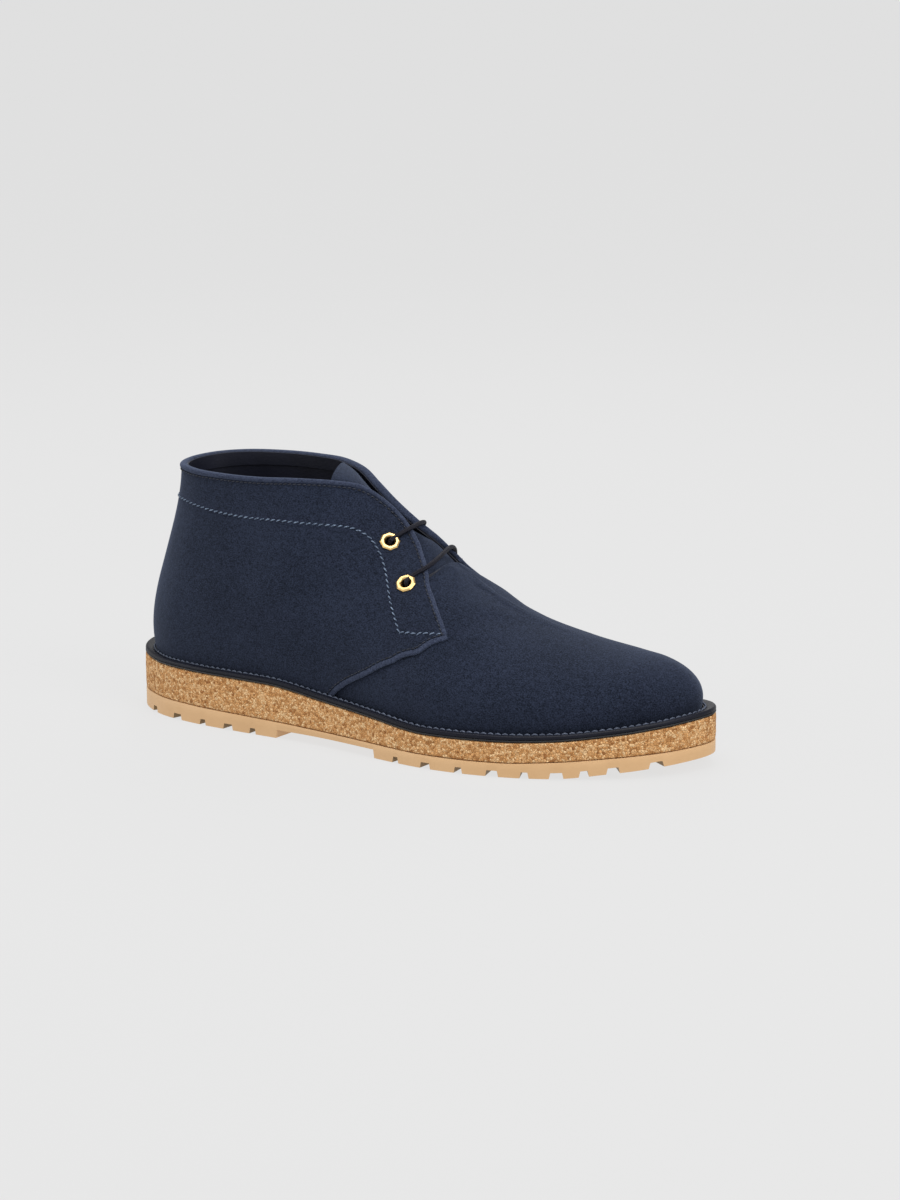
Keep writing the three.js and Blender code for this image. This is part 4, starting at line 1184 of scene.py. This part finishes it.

# %% [markdown]
# ## Crepe, gum, brass and thread
# Natural crepe is pressed from crumbs of latex, so it looks like fine cork: tan grains of
# different tones with dark specks in their joints. The outsole is plain gum rubber, which
# only shows soft moulding marks, with painted shade in its deep lug gaps. The eyelets are polished
# and lacquered brass.

# %% Crepe
finish = Finish("crepe_rubber")
warp = finish.noise(450, 2, 0.5)
grains = finish.cells("F1", 880, "Color")
tone = finish.node("ShaderNodeSeparateColor", None, {"Color": grains}, "Red")
joint = finish.cells("DISTANCE_TO_EDGE", 880, "Distance")
colour = finish.ramp(0.62 * tone + 0.38 * warp, [
    (0.16, (0.36, 0.140, 0.040)), (0.33, (0.62, 0.300, 0.105)), (0.52, (0.80, 0.430, 0.175)),
    (0.80, (0.98, 0.660, 0.350))])
speck = finish.ramp(finish.noise(520, 3, 0.6), [(0.30, (1, 1, 1)), (0.40, (0, 0, 0))])
joints = finish.ramp(joint, [(0.02, (1, 1, 1)), (0.13, (0, 0, 0))])
colour = finish.mix(0.50 * speck, colour, (0.24, 0.105, 0.030, 1))
colour = finish.mix(0.55 * joints, colour, (0.28, 0.125, 0.036, 1))
CREPE = finish.surface({
    "Base Color": colour, "Roughness": 0.85, "Specular IOR Level": 0.25,
    "Normal": finish.bump(joint * 3.0 + 0.8 * warp, 0.8, 0.0006)})

# %% Gum rubber, brass, lace and threads
def gum(name, dark, light):
    """Gum rubber: a faint cloud of colour and a fine moulded grain."""
    finish = Finish(name)
    cloud = finish.noise(45, 3, 0.5)
    return finish.surface({
        "Base Color": finish.ramp(cloud, [(0.3, dark), (0.7, light)]),
        "Roughness": 0.46 + 0.1 * cloud, "Specular IOR Level": 0.4,
        "Normal": finish.bump(finish.noise(1400, 2), 0.25, 0.00008)})


GUM = gum("gum_rubber", (0.62, 0.38, 0.185), (0.68, 0.43, 0.22))
# The same gum painted darker: painted shade for the recesses of the lug gaps.
GAP_SHADE_GUM = gum("gum_painted_shade_in_gaps", (0.22, 0.135, 0.055), (0.30, 0.185, 0.08))

finish = Finish("brass")
wear = finish.noise(700, 2)
BRASS = finish.surface({
    "Base Color": finish.ramp(wear, [(0.3, (0.80, 0.53, 0.205)), (0.7, (0.90, 0.64, 0.295))]),
    "Metallic": 1.0, "Roughness": 0.26 + 0.12 * wear})

finish = Finish("waxed_cord")
STRANDS, STRAND_TURN = 3, 5.2  # strands each way round, and their turn in radians a mm
braid_uv = finish.node("ShaderNodeUVMap", {"uv_map": "UVMap"})
length, turn = (finish.node("ShaderNodeSeparateXYZ", None, {0: braid_uv}, axis) for axis in "XY")
waves = [finish.node("ShaderNodeMath", {"operation": "SINE"}, {
    0: STRAND_TURN * length + way * 2 * math.pi * STRANDS * turn}) for way in (1, -1)]
braid = 0.5 + 0.5 * (waves[0] * waves[1])
CORD = finish.surface({
    "Base Color": finish.ramp(braid, [(0.1, (0.003, 0.003, 0.007)), (0.9, (0.012, 0.012, 0.022))]),
    "Roughness": 0.65, "Specular IOR Level": 0.25, "Normal": finish.bump(braid, 0.7, 0.0003)})


def thread(name, dark, light):
    """Twisted thread: a fine noise between a dark and a light tone."""
    strand = Finish(name)
    return strand.surface({
        "Base Color": strand.ramp(strand.noise(900, 1), [(0.3, dark), (0.7, light)]),
        "Roughness": 0.6})


BLUE_THREAD = thread("slate_thread", (0.040, 0.062, 0.105), (0.170, 0.225, 0.320))
NAVY_THREAD = thread("navy_thread", (0.003, 0.004, 0.008), (0.016, 0.021, 0.040))
WELT_THREAD = thread("welt_thread", (0.040, 0.052, 0.085), (0.095, 0.115, 0.165))

# %% Finishes onto the pieces
FINISHES = [
    ([*quarters.values(), vamp, tongue], [SUEDE, RAW_EDGE]), ([binding, folded], [ROLLED_LIT_SUEDE]),
    ([lining, footbed, turn_in], [LINING]), ([welt], [WELT_LEATHER]), ([rand], [RAND_LEATHER]),
    ([crepe], [CREPE]), ([outsole, tread_bars], [GUM, GAP_SHADE_GUM]), (brass_pieces, [BRASS]),
    ([lace], [CORD]), ([panel_thread], [BLUE_THREAD]), ([edge_thread], [NAVY_THREAD]),
    ([welt_thread], [WELT_THREAD])]
for pieces, materials in FINISHES:
    for piece in pieces:
        for material in materials:
            piece.data.materials.append(material)
print(sum(len(pieces) for pieces, _ in FINISHES), "pieces finished")

# %% [markdown]
# ## Floor
# The boot stands on a pale paper floor that curves up all round, far from the boot, so no
# horizon line shows from any side.

# %% A round floor that curves up at its rim
FLAT, DROP = 2.2, 0.0002  # radius of the flat part and of the curve, and a gap to the tread, m
bend = np.linspace(0.1, 1.5, 14)
radius = np.concatenate([[0], np.linspace(0.02, FLAT, 30), FLAT + FLAT * np.sin(bend)])
height = np.concatenate([np.zeros(31), FLAT * (1 - np.cos(bend))])
turn = np.arange(72) * 2 * np.pi / 72
points = np.stack(np.broadcast_arrays(
    radius[:, None] * np.cos(turn), radius[:, None] * np.sin(turn), height[:, None] - DROP), -1)
floor_sheet = make_piece("floor", points, grid_faces(*points.shape[:2], close_columns=True),
                         weld=1e-5, closed=False)
finish = Finish("paper")
floor_sheet.data.materials.append(finish.surface({
    "Base Color": finish.ramp(finish.noise(3), [(0.0, (0.058,) * 3), (1.0, (0.060,) * 3)]),
    "Roughness": 0.9, "Specular IOR Level": 0.1, "Emission Color": (1, 1, 1, 1),
    "Emission Strength": 0.71}))
